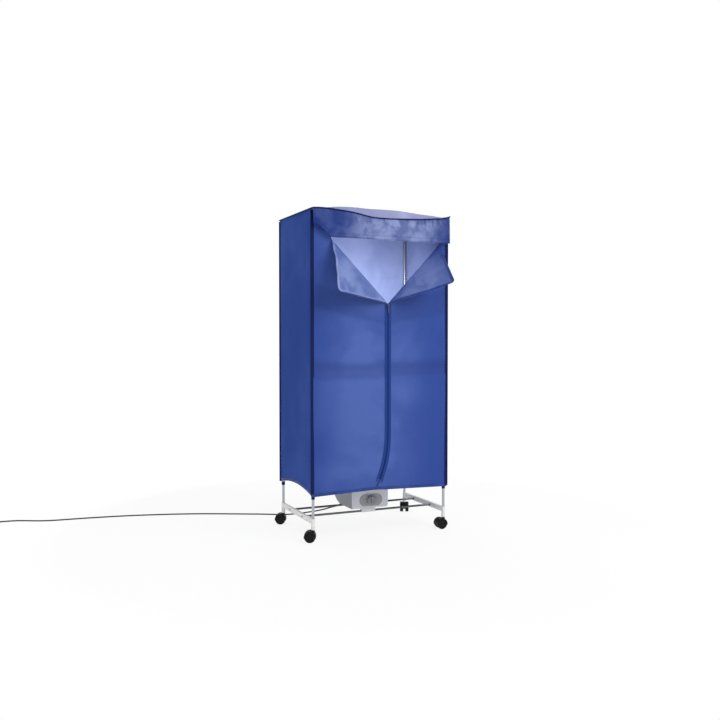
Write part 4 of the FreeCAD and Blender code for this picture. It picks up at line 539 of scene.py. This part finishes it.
def grid(name, across, up, size, spot, finish):
    """A grid with its points set by spot(s, t) and its UV map in metres along the cloth."""
    bpy.ops.mesh.primitive_grid_add(x_subdivisions=across, y_subdivisions=up, size=2)
    piece = bpy.context.object
    piece.name = name
    for point in piece.data.vertices:
        point.co = spot((point.co.x + 1) / 2, (point.co.y + 1) / 2)
    for corner in piece.data.uv_layers[0].data:
        corner.uv = (corner.uv.x * size[0], corner.uv.y * size[1])
    for material in finish:
        piece.data.materials.append(material)
    return piece


def thicken(piece, wall):
    """Give a grid its thickness; its far side takes the second material where there is one."""
    pick(piece)
    shell = piece.modifiers.new("wall", "SOLIDIFY")
    shell.thickness = wall
    shell.offset = -1
    shell.material_offset = len(piece.data.materials) - 1
    bpy.ops.object.modifier_apply(modifier=shell.name)
    bpy.ops.object.shade_smooth_by_angle(angle=math.radians(50))
    return piece


def cloth(name, across, up, size, spot, finish, body="cabinet"):
    return settle(thicken(grid(name, across, up, size, spot, finish), CLOTH_WALL), body)


def ribbon(name, along, across, width, spot, material, body="cabinet", flip=False):
    """A flat tape on the cloth: spot(share, across) gives its outer face."""
    start = [spot(n / 40, width / 2) for n in range(41)]
    length = sum((b - a).length for a, b in zip(start, start[1:]))

    def place(s, t):
        return spot(1 - s if flip else s, t * width)

    strip = grid(name, along, across, (length, width), place, (material,))
    return settle(thicken(strip, TAPE_WALL), body)


def row(name, low, high, step, count, place, material, body="cabinet"):
    """Equal blocks, step apart along Z, each point of them put where place(point) says."""
    bpy.ops.mesh.primitive_cube_add(size=1)
    piece = bpy.context.object
    piece.name = name
    for point in piece.data.vertices:
        point.co = [a + (b - a) * (c + 0.5) for a, b, c in zip(low, high, point.co)]
    more = piece.modifiers.new("row", "ARRAY")
    more.use_relative_offset = False
    more.use_constant_offset = True
    more.constant_offset_displace = (0, 0, step)
    more.count = count
    bpy.ops.object.modifier_apply(modifier=more.name)
    for point in piece.data.vertices:
        point.co = place(point.co.copy())
    turn_outward()
    piece.data.materials.append(material)
    return settle(piece, body)


def strand(name, kind, points, radius, roundness, material):
    """A round strand along points, as a curve."""
    curve = bpy.data.curves.new(name, "CURVE")
    curve.dimensions = "3D"
    curve.bevel_depth = radius
    curve.bevel_resolution = roundness
    curve.use_fill_caps = True
    line = curve.splines.new(kind)
    line.points.add(len(points) - 1)
    for point, place in zip(line.points, points):
        point.co = (*place, 1)
    curve.materials.append(material)
    piece = bpy.data.objects.new(name, curve)
    bpy.context.collection.objects.link(piece)
    return piece


def tube(name, points, radius, material):
    """A strand turned into a mesh."""
    pick(strand(name, "POLY", points, radius, 3, material))
    bpy.ops.object.convert(target="MESH")
    piece = bpy.context.object
    bpy.ops.object.shade_smooth_by_angle(angle=math.radians(50))
    return settle(piece, "cabinet")


def lathe(name, profile, place, material):
    """A turned piece: the profile gives places along its axis and radii, and place() sets them down."""
    last = len(profile) - 1

    def spot(s, t):
        along, radius = profile[round(t * last)]
        turn = 2 * math.pi * s
        return Vector(place(along, radius * math.cos(turn), radius * math.sin(turn)))

    piece = grid(name, 40, last, (0.05, 0.02), spot, (material,))
    turn_outward(weld=True)
    bpy.ops.object.shade_smooth_by_angle(angle=math.radians(40))
    return settle(piece, "cabinet")


# ---- cover
def across_front(share):
    """X from the left corner to the right one."""
    return -SIDE_X + 2 * SIDE_X * share


def front_y(x):
    """Outer face of the front: flat from each corner to the ridge at the zip."""
    span = SIDE_X + ZIP_X if x < ZIP_X else SIDE_X - ZIP_X
    return -SIDE_Y - RIDGE * (1 - abs(x - ZIP_X) / span)


def zip_spot(z, offset=0.0):
    """X and Z beside the zip's middle line, which sways to the left below its straight part."""
    drop = ZIP_KNEE - z
    if drop <= 0:
        return ZIP_X + offset, z
    angle = math.asin(min(1, drop / ZIP_SWAY))
    radius = ZIP_SWAY + offset
    return ZIP_X - ZIP_SWAY + radius * math.cos(angle), ZIP_KNEE - radius * math.sin(angle)


def vee_reach(side):
    """How far the upper end of a lapel's fold lies from the zip."""
    return VEE_LEFT if side < 0 else VEE_RIGHT


def front_inner_x(side, z):
    """Inner edge of a front half: the zip, then the fold of the lapel."""
    if z <= VEE_LOW:
        return zip_spot(z, side * 0.001)[0]
    return ZIP_X + side * vee_reach(side) * min(1, (z - VEE_LOW) / (VEE_TOP - VEE_LOW))


def front_relief(side, x, z):
    """How far the front's cloth stands out of its plane."""
    inner = front_inner_x(side, z)
    edge = min(abs(x - inner) / 0.05, abs(side * SIDE_X - x) / 0.03)
    calm = smooth(edge) * smooth((z - 0.21) / 0.05) * (1 - smooth((z - 1.30) / 0.08))
    swell = 0.0045 * ripple(x * 3.2, 0, z * 1.6, 1 + side) \
        + 0.0016 * ripple(x * 11, 0, z * 4.5, 5 + side)
    belly = 0.0035 * math.sin(math.pi * min(1, max(0, z - 0.22)))
    pull = 0.0010 * math.sin(z * 75 + 3 * ripple(x * 6, 0, z * 3, 9)) * ridge(x - inner, 0.035)
    fold = 0.0018 * ridge(z - FOLD_LINE - 0.0015 * ripple(x * 9, 0, 0, 3), 0.006)
    dent = 0.0036 * hump(z, FOLD_LINE + 0.046 + 0.008 * ripple(x * 4, 0, 0, 7), 0.024)
    return calm * (swell + belly + pull) + smooth(edge) * (fold - dent)


def make_front(side):
    """A front half: its rows of points lie along the zip, along the lapel's fold and above it."""
    levels = [HEM_ZIP]
    for low, high, count in ((HEM_ZIP, VEE_LOW, 110), (VEE_LOW, VEE_TOP, 34), (VEE_TOP, FRONT_TOP, 5)):
        levels += [low + (high - low) * n / count for n in range(1, count + 1)]
    rows = len(levels) - 1

    def spot(s, t):
        z = levels[round(t * rows)]
        inner, corner = front_inner_x(side, z), side * SIDE_X
        x = corner + (inner - corner) * (s if side < 0 else 1 - s)
        away = abs(x - inner) / abs(corner - inner)
        z -= (HEM_ZIP - HEM_FRONT) * away * (1 - smooth((z - HEM_ZIP) / 0.25))
        return Vector((x, front_y(x) - front_relief(side, x, z), z))

    def hem_spot(s, v):
        inner, share = front_inner_x(side, HEM_ZIP), s if side > 0 else 1 - s
        x = inner + (side * SIDE_X - inner) * share
        z = HEM_ZIP - (HEM_ZIP - HEM_FRONT) * share + v
        return Vector((x, front_y(x) - front_relief(side, x, z) - ON_CLOTH, z))

    name = f"front_half_{HAND[side]}"
    width, height = SIDE_X - side * ZIP_X, 1.2
    piece = cloth(name, 46, rows, (width, height), spot, (FRONT, LINING))
    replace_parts(piece, f"cover_front_{HAND[side]}")
    hem = ribbon(name + "_hem", 60, 3, HEM_WIDE, hem_spot, HEM_CLOTH, flip=side < 0)


ROOF_SOLID = BVHTree.FromObject(nodes["cover_roof"], bpy.context.evaluated_depsgraph_get())


def roof_top(x, y):
    """Height of the roof's solid at a place, looked up just inside its edges."""
    above = Vector((max(-0.3490, min(0.3490, x)), max(-0.2396, min(0.2156, y)), 2))
    return ROOF_SOLID.ray_cast(above, Vector((0, 0, -1)))[0].z


def edge_sag(x):
    """How far the loose front edge lies below the roof's solid: below it near its right end only."""
    return 0.0040 * hump(x, 0.31, 0.03) - 0.0090 * hump(x, -0.155, 0.075) - 0.0075 * hump(x, 0.10, 0.15)


def roof_swell(x, t):
    """The loose cloth behind the front edge stands up, most of all on its left."""
    over = smooth((SIDE_X - abs(x)) / 0.15) * smooth((0.33 - x) / 0.28)
    return 0.013 * over * smooth(t / 0.09) * smooth((1 - t) / 0.6)


def roof_edge(x):
    """Height of the roof's front edge, which hangs between its corners."""
    return roof_top(x, ROOF_FRONT) - edge_sag(x)


def side_relief(y, z, seed):
    """How far a side's cloth stands out of its plane."""
    aside = 0.215 - abs(y)
    calm = smooth(aside / 0.04) * smooth((z - 0.25) / 0.06) * smooth((LOOSE_TOP - z) / 0.05)
    swell = 0.0030 * ripple(y * 4, 0, z * 1.7, seed) + 0.0012 * ripple(y * 13, 0, z * 5, seed + 2)
    fold = 0.0014 * ridge(z - FOLD_LINE - 0.002 * ripple(y * 9, 0, 0, seed), 0.006)
    return calm * (0.0028 + swell) + fold * smooth(aside / 0.02)


def side_hem(y):
    return HEM + SIDE_ARCH * (1 - (y / SIDE_HALF) ** 2)


def make_side(side):
    """A side: rows run from its arched hem to the roof."""
    seed = 11 if side < 0 else 17

    def spot(s, t, above=0.0, out=0.0):
        y = side * SIDE_HALF * (2 * s - 1)
        low = side_hem(y)
        z = low + (TOP_SEAM - low) * t + above
        return Vector((side * (SIDE_X + side_relief(y, z, seed) + out), y, z))

    def hem_spot(s, v):
        return spot(s, 0, v, ON_CLOTH)

    name = f"side_{HAND[side]}"
    piece = cloth(name, 30, 110, (0.43, 1.28), spot, (SHADED_SIDE_CLOTH, LINING))
    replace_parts(piece, f"cover_{HAND[side]}_side")
    hem = ribbon(name + "_hem", 40, 3, HEM_WIDE, hem_spot, HEM_CLOTH)


def make_back():
    """The back, with a seam up its middle."""
    seam_wide = 0.016

    def place(x, z, out=0.0):
        calm = smooth((SIDE_X - abs(x)) / 0.05) * smooth((z - 0.24) / 0.06)
        calm *= smooth((LOOSE_TOP - z) / 0.05)
        swell = 0.003 + 0.004 * ripple(x * 3, 0, z * 1.6, 23) + 0.0012 * ripple(x * 12, 0, z * 5, 25)
        folds = 0.0014 * ridge(z - FOLD_LINE, 0.006) - 0.0012 * ridge(x, 0.004)
        return Vector((x, SIDE_Y + calm * (swell + folds) + out, z))

    def spot(s, t):
        return place(-across_front(s), HEM + (TOP_SEAM - HEM) * t)

    def hem_spot(s, v):
        return place(-across_front(s), HEM + v, ON_CLOTH)

    def seam_spot(s, v):
        low = HEM + 0.016
        return place(v - seam_wide / 2, low + (LOOSE_TOP - low) * s, 0.0006)

    piece = cloth("back", 60, 110, (0.7, 1.29), spot, (SHADED_SIDE_CLOTH, LINING))
    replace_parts(piece, "cover_back")
    hem = ribbon("back_hem", 60, 3, HEM_WIDE, hem_spot, HEM_CLOTH)
    seam = ribbon("back_seam", 90, 2, seam_wide, seam_spot, HEM_CLOTH)


def make_header():
    """Strip behind the flap, above the open corners."""
    def spot(s, t):
        x, z = across_front(s), HEADER_LOW + HEADER_TALL * t
        return Vector((x, -SIDE_Y - 0.0006 * ripple(x * 12, 0, z * 9, 31), z))

    piece = cloth("header", 60, 8, (0.7, 0.076), spot, (FRONT, LINING))
    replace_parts(piece, "cover_front_header")


def roof_spot(s, t):
    """The roof's upper face: t runs from its front edge to the rear."""
    x, y = across_front(s), ROOF_FRONT + ROOF_DEEP * t
    calm = smooth((SIDE_X - abs(x)) / 0.04) * smooth(min(t, 1 - t) / 0.1)
    swell = 0.0022 * ripple(x * 7, y * 7, 0, 41) + 0.0009 * ripple(x * 22, y * 22, 0, 43)
    pucker = 0.0009 * math.sin(x * 210 + 4 * ripple(x * 9, 0, 0, 45)) * ridge(t, 0.06)
    pucker *= smooth((SIDE_X - abs(x)) / 0.02)
    loose = roof_swell(x, t) - edge_sag(x) * hump(t, 0, 0.10)
    return Vector((x, y, roof_top(x, y) + calm * (swell + 0.001) + pucker + loose))


def make_roof():
    piece = cloth("roof", 90, 60, (0.7, 0.456), roof_spot, (ROOF_PAINTED_SHEEN, LINING))
    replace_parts(piece, "cover_roof")


def flap_spot(x, t, lift=0.0):
    """The flap's outer face: t runs from the roof's edge down to its hem."""
    rise = max(0, -x - (VEE_LEFT - ZIP_X)) / (SIDE_X - VEE_LEFT + ZIP_X)
    low = FLAP_HEM + (FLAP_HEM_LEFT - FLAP_HEM) * smooth(rise) ** 0.8
    high = roof_edge(x) - 0.0020
    wave = 0.003 * math.sin(2 * math.pi * x / 0.190)
    forward = 0.005 * (1 - rise) + wave
    belly = 4 * t * (1 - t) * (0.0015 + wave / 4)
    ends = smooth((SIDE_X - abs(x)) / 0.03)
    gather = 0.0022 * math.sin(x * 150 + 5 * ripple(x * 7, 0, 0, 51)) * ridge(t, 0.22) * smooth(t / 0.04)
    swell = 0.0034 * ripple(x * 9, 0, t * 1.3 + x * 1.5, 53) + 0.0016 * ripple(x * 28, 0, t * 3.5, 55)
    relief = ends * smooth(t / 0.08) * (swell + 0.0015) + ends * gather
    y = ROOF_FRONT - forward * t - belly - relief - lift
    return Vector((x, y, high + (low - high) * t))


def make_flap():
    def spot(s, t):
        return flap_spot(across_front(s), 1 - t)

    def hem_spot(s, v):
        x = across_front(s)
        height = flap_spot(x, 0).z - flap_spot(x, 1).z
        return flap_spot(x, 1 - v / height, ON_CLOTH)

    piece = cloth("flap", 160, 44, (0.7, 0.12), spot, (FLAP, LINING))
    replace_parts(piece, "cover_valance")
    hem = ribbon("flap_hem", 160, 4, 0.020, hem_spot, FLAP_HEM_CLOTH)


def make_floor():
    """Floor cloth, with its corners cut off at the posts and a hole for the outlet collar."""
    hole, centre = 0.0675, Vector((0, 0.020))
    wide, deep, corner, level = 0.695, 0.428, 0.5295, 0.2414

    def spot(s, t):
        x, y = wide * (s - 0.5), deep * (t - 0.5)
        over = abs(x) + abs(y) - corner
        if over > 0:
            x, y = x - math.copysign(over / 2, x), y - math.copysign(over / 2, y)
        away = (Vector((x, y)) - centre).length
        calm = smooth((away - hole) / 0.03) * smooth((corner - abs(x) - abs(y)) / 0.04)
        return Vector((x, y, level + 0.0004 * calm * ripple(x * 9, y * 9, 0, 61)))

    piece = grid("floor_cloth", 110, 68, (wide, deep), spot, (FLOOR_CLOTH,))
    bpy.ops.object.mode_set(mode="EDIT")
    bpy.ops.mesh.select_all(action="DESELECT")
    bpy.ops.object.mode_set(mode="OBJECT")
    for face in piece.data.polygons:
        face.select = (face.center.xy - centre).length < hole
    bpy.ops.object.mode_set(mode="EDIT")
    bpy.ops.mesh.delete(type="FACE")
    bpy.ops.object.mode_set(mode="OBJECT")
    for point in piece.data.vertices:
        arm = point.co.xy - centre
        if arm.length < hole + 0.006:
            arm = arm.normalized() * hole
            point.co.x, point.co.y = centre.x + arm.x, centre.y + arm.y
    settle(thicken(piece, CLOTH_WALL), "cabinet")
    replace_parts(piece, "cover_floor")


# ---- lapels
def lapel_frame(side, turn):
    """A lapel's pivot, the ways along its fold, to its free side and out of its face, and its length."""
    start = Vector((ZIP_X, front_y(ZIP_X), VEE_LOW))
    top_x = ZIP_X + side * vee_reach(side)
    along = Vector((top_x, front_y(top_x), VEE_TOP)) - start
    length = along.length
    along.normalize()
    across = Vector((side * SIDE_X, -SIDE_Y, 0)) - Vector((start.x, start.y, 0))
    outward = Vector((0, 0, 1)).cross(across).normalized()
    outward *= -1 if outward.y > 0 else 1
    into = (Vector((0, 0, 1)) - along * along.z).normalized()
    angle = math.radians(turn)
    way = into * math.cos(angle) + outward * math.sin(angle)
    face = into * -math.sin(angle) + outward * math.cos(angle)
    return start + outward * 0.00105, along, way, face, length


def lapel_spot(side, turn, seed):
    """A function for a lapel's visible face: s from fold to free edge, t from the point to the top."""
    pivot, along, way, face, length = lapel_frame(side, turn)
    free = along * (LAPEL_EDGE * along.z) + way * (LAPEL_EDGE * math.sqrt(1 - along.z ** 2))

    def spot(s, t, lift=0.0):
        t = 0.02 + 0.98 * t
        corner = max(0, (s - 0.93) / 0.07)
        t *= 1 - 0.045 * (1 - math.sqrt(1 - corner * corner))
        fold_point, free_point = along * (length * t), free * t
        point = fold_point + (free_point - fold_point) * s
        bow = LAPEL_BOW * t * 4 * s * (1 - s)
        loose = smooth(s / 0.12) * t
        creases = 0.0034 * ripple(point.x * 14, point.y * 8, point.z * 14, seed) \
            + 0.0016 * ripple(point.x * 38, 0, point.z * 38, seed + 2)
        fan = 0.0022 * math.sin(s * 19 + 3 * ripple(s * 4, t * 3, 0, seed + 4)) * ridge(1 - t, 0.25)
        curl = 0.006 * smooth((s - 0.8) / 0.2) * smooth((t - 0.6) / 0.4)
        return pivot + point - face * (0.0006 + bow + loose * (creases + fan + 0.001) + curl + lift)
    return spot


def make_lapel(side, turn, seed, lining, hem_cloth, tape_material):
    """An unzipped corner of the front, folded out so that its lining shows; on the left its lining, hem
    and tape are painted lit copies, on the right its lining and tape are painted shaded copies.
    """
    name, lift = f"lapel_{HAND[side]}", 0.0008
    spot = lapel_spot(side, turn, seed)

    def turned(s, t):
        return spot(1 - s if side < 0 else s, t)

    def from_edge(inward, up):
        return 1 - inward / (LAPEL_DEEP * max(0.12, up))

    def zip_edge(s, v):
        return spot(from_edge(v, s), s * 0.985, lift)

    def top_edge(s, v):
        return spot(s, 1 - v / 0.30, lift)

    def tooth_spot(point):
        up = point.z / LAPEL_EDGE
        return spot(from_edge(point.x, up), 0.04 + 0.94 * up, lift + point.y)

    piece = cloth(name + "_cloth", 60, 60, (0.30, 0.34), turned, (lining, FRONT), name)
    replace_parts(piece, name)
    tape = ribbon(name + "_zip_tape", 90, 2, LAPEL_HEM, zip_edge, tape_material, name, flip=side > 0)
    hem = ribbon(name + "_hem", 80, 3, LAPEL_HEM, top_edge, hem_cloth, name, flip=side < 0)
    teeth = row(name + "_teeth", (0.0002, 0, 0), (0.0027, 0.0011, 0.0013), TOOTH_PITCH, 118,
                tooth_spot, TEETH, name)


# ---- zip
def make_zip():
    """On each side a tape with teeth and the front's fold beside it; a stop, a seam and a backing."""
    height, lift = VEE_LOW - 0.001 - ZIP_END, 0.0016
    tape_wide, fold_wide, seam_wide, backing_wide = 0.0120, 0.0040, 0.012, 0.009

    def on_front(place, out):
        return Vector((place[0], front_y(place[0]) - out, place[1]))

    def beside(side):
        def tape_spot(s, v):
            return on_front(zip_spot(ZIP_END + height * s, side * (0.0009 + v)), lift)

        def tooth_spot(point):
            return on_front(zip_spot(ZIP_END + point.z, side * point.x), lift + point.y)

        def fold_spot(s, v):
            z = ZIP_END - 0.012 + (VEE_LOW + 0.009 - ZIP_END) * s
            out = 0.0018 + 0.0010 * math.sin(math.pi * v / fold_wide)
            return on_front(zip_spot(z, side * (0.0118 + v)), out)

        shift = TOOTH_PITCH / 2 if side > 0 else 0
        tape = ribbon(f"zip_tape_{HAND[side]}", 200, 3, tape_wide, tape_spot, ZIP_TAPE,
                      flip=side > 0)
        row(f"zip_teeth_{HAND[side]}", (0.0007, -0.0004, shift), (0.0034, 0.0007, shift + 0.0013),
            TOOTH_PITCH, int(height / TOOTH_PITCH) - 1, tooth_spot, TEETH)
        ribbon(f"zip_fold_{HAND[side]}", 200, 4, fold_wide, fold_spot, ZIP_TAPE,
               flip=side > 0)
        return tape

    def seam_spot(s, v):
        z = HEM_ZIP + 0.0005 + (ZIP_END - HEM_ZIP - 0.0012) * s
        return on_front((zip_spot(z, v - seam_wide / 2)[0], z), ON_SEAM)

    def backing_spot(s, v):
        z = HEM_ZIP + 0.002 + (VEE_LOW - 0.006 - HEM_ZIP) * s
        return on_front(zip_spot(z, v - backing_wide / 2), -0.0013)

    def stop_spot(point):
        return Vector((zip_spot(ZIP_END)[0], front_y(-0.02), ZIP_END - 0.0062)) \
            + Vector((point.x, -point.y, point.z))

    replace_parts(beside(-1), "zip_chain")
    beside(1)
    ribbon("zip_seam", 20, 3, seam_wide, seam_spot, HEM_CLOTH, flip=True)
    ribbon("zip_backing", 200, 2, backing_wide, backing_spot, NAVY, flip=True)
    row("zip_stop", (-0.005, 0.0002, 0), (0.005, 0.0022, 0.006), 0.01, 1, stop_spot, SLIDER)


# ---- trim
def make_piping():
    """Piping along the roof's edges and down the corners, with a dark navy strip folded over each corner.
    """
    def front_spot(share):
        x = across_front(share)
        return x, ROOF_FRONT - PIPE_OUT, roof_edge(x) - 0.0008 + 0.0005 * ripple(x * 40, 0, 0, 71)

    front = tube("piping_roof_front", [front_spot(n / 60) for n in range(61)], 0.0027, NAVY)
    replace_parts(front, "cover_piping")
    level = ROOF + 0.00075
    rear = [(across_front(n / 30), SIDE_Y + PIPE_OUT, level) for n in range(31)]
    tube("piping_roof_rear", rear, PIPE_RADIUS, NAVY)
    out, low, high = PIPE_OUT / math.sqrt(2), HEM_FRONT + 0.006, 1.497
    for side in (-1, 1):
        edge_x = side * (SIDE_X + PIPE_OUT)
        run = [(edge_x, ROOF_FRONT + (ROOF_DEEP + 0.0005) * n / 24, level) for n in range(25)]
        tube(f"piping_roof_{HAND[side]}", run, PIPE_RADIUS, NAVY)
        for end in (-1, 1):
            x, y = side * (SIDE_X + out), end * (SIDE_Y + out)
            corner = f"{'front' if end < 0 else 'rear'}_{HAND[side]}"
            tube(f"piping_{corner}", [(x, y, low + (high - low) * n / 60) for n in range(61)],
                 PIPE_RADIUS, NAVY)
            corner_strip(side, end, corner)


def corner_strip(side, end, corner):
    """A dark navy strip folded over the seam of a corner: one half on the front or back, one on the side.
    """
    def spot(s, v):
        z = HEM + 0.002 + (1.495 - HEM) * s
        if v < STRIP_HALF:
            x = side * (SIDE_X - STRIP_HALF + v)
            y = front_y(x) - ON_SEAM if end < 0 else SIDE_Y + ON_SEAM
            return Vector((x, y, z))
        return Vector((side * (SIDE_X + ON_SEAM), end * (SIDE_Y - (v - STRIP_HALF)), z))

    ribbon(f"corner_strip_{corner}", 60, 24, 2 * STRIP_HALF, spot, NAVY, flip=side * end < 0)


def make_corner_tabs():
    """Loops of binding round the posts, below the cover's corners."""
    inside, dent = TUBE_RADIUS + 0.0001, 0.2 * (TAB_RADIUS - TUBE_RADIUS)
    profile = [(TAB_LOW, inside), (TAB_LOW, TAB_RADIUS - dent)]
    profile += [(TAB_LOW + (TAB_HIGH - TAB_LOW) * n / 8, TAB_RADIUS - dent * (n % 2)) for n in range(9)]
    profile += [(TAB_HIGH, inside), (TAB_LOW, inside)]
    tabs = [lathe(f"corner_tab_{number + 1}", profile, lambda along, a, b, x=x, y=y: (x + a, y + b, along),
                  NAVY) for number, (x, y) in enumerate(POSTS)]
    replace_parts(tabs[0], "corner_tabs")


# ---- cord and dial
def make_cord():
    """The mains cord along its route, with the plug of the frame on its end."""
    piece = strand("mains_cord_jacket", "NURBS", CORD_ROUTE, CORD_RADIUS, 6, RUBBER)
    piece.data.resolution_u = 8
    line = piece.data.splines[0]
    line.order_u = 3
    line.use_endpoint_u = True
    settle(piece, "cabinet")
    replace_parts(piece, "mains_cord")


def make_strain_relief():
    """Tapered sleeve with grooves, from the housing's rear wall over the cord's first stretch."""
    x, _, z = CORD_ROUTE[0]
    thick, thin, length, flange = 0.0063, 0.0043, 0.036, 0.003
    profile = [(0, 0), (0, 0.008), (flange - 0.0006, 0.008), (flange, 0.0074), (flange, thick)]
    for groove in range(7):
        start = 0.008 + 0.0036 * groove
        for along, depth in ((0, 0), (0.0004, 0.0009), (0.0012, 0.0009), (0.0016, 0)):
            radius = thick + (thin - thick) * (start + along) / length
            profile.append((start + along, radius - depth))
    profile += [(length - 0.0005, thin), (length, thin - 0.0004), (length, 0)]
    piece = lathe("strain_relief", profile, lambda along, a, b: (x + a, HOUSING_REAR + along, z + b),
                  RUBBER)
    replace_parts(piece, "cord_gland")


def make_dial_marks():
    """Hour ticks round the knob, and the line on its ridge."""
    def on_dial(across, up, face):
        return Vector((DIAL[0] + across, -face, DIAL[1] + up))

    def tick_spot(point):
        number = round(point.z)
        turn = math.radians(30 * number)
        across, out = point.x, 0.0240 + point.z - number
        return on_dial(out * math.sin(turn) + across * math.cos(turn),
                       out * math.cos(turn) - across * math.sin(turn), DIAL_FACE + point.y)

    def line_spot(point):
        return on_dial(point.x, point.z, KNOB_FACE + point.y)

    row("dial_ticks", (-0.0006, -0.0001, 0), (0.0006, 0.0002, 0.0034), 1, 11, tick_spot, MARK)
    row("knob_line", (-0.0008, -0.0001, 0.008), (0.0008, 0.0002, 0.0180), 1, 1, line_spot, MARK,
        "timer_knob")


# ---- build
bpy.context.scene.view_settings.view_transform = "Standard"
set_camera()
set_world()
set_floor()
set_lamps()
paint_nodes()
for side in (-1, 1):
    make_front(side)
    make_side(side)
make_back()
make_header()
make_roof()
make_flap()
make_floor()
make_lapel(-1, 143, 81, LAPEL_LINING_PAINTED_LIT, HEM_PAINTED_LIT, LAPEL_TAPE_PAINTED_LIT)
make_lapel(1, 117, 91, LAPEL_LINING_PAINTED_SHADED, HEM_CLOTH, LAPEL_TAPE_PAINTED_SHADED)
make_piping()
make_corner_tabs()
make_zip()
make_cord()
make_strain_relief()
make_dial_marks()
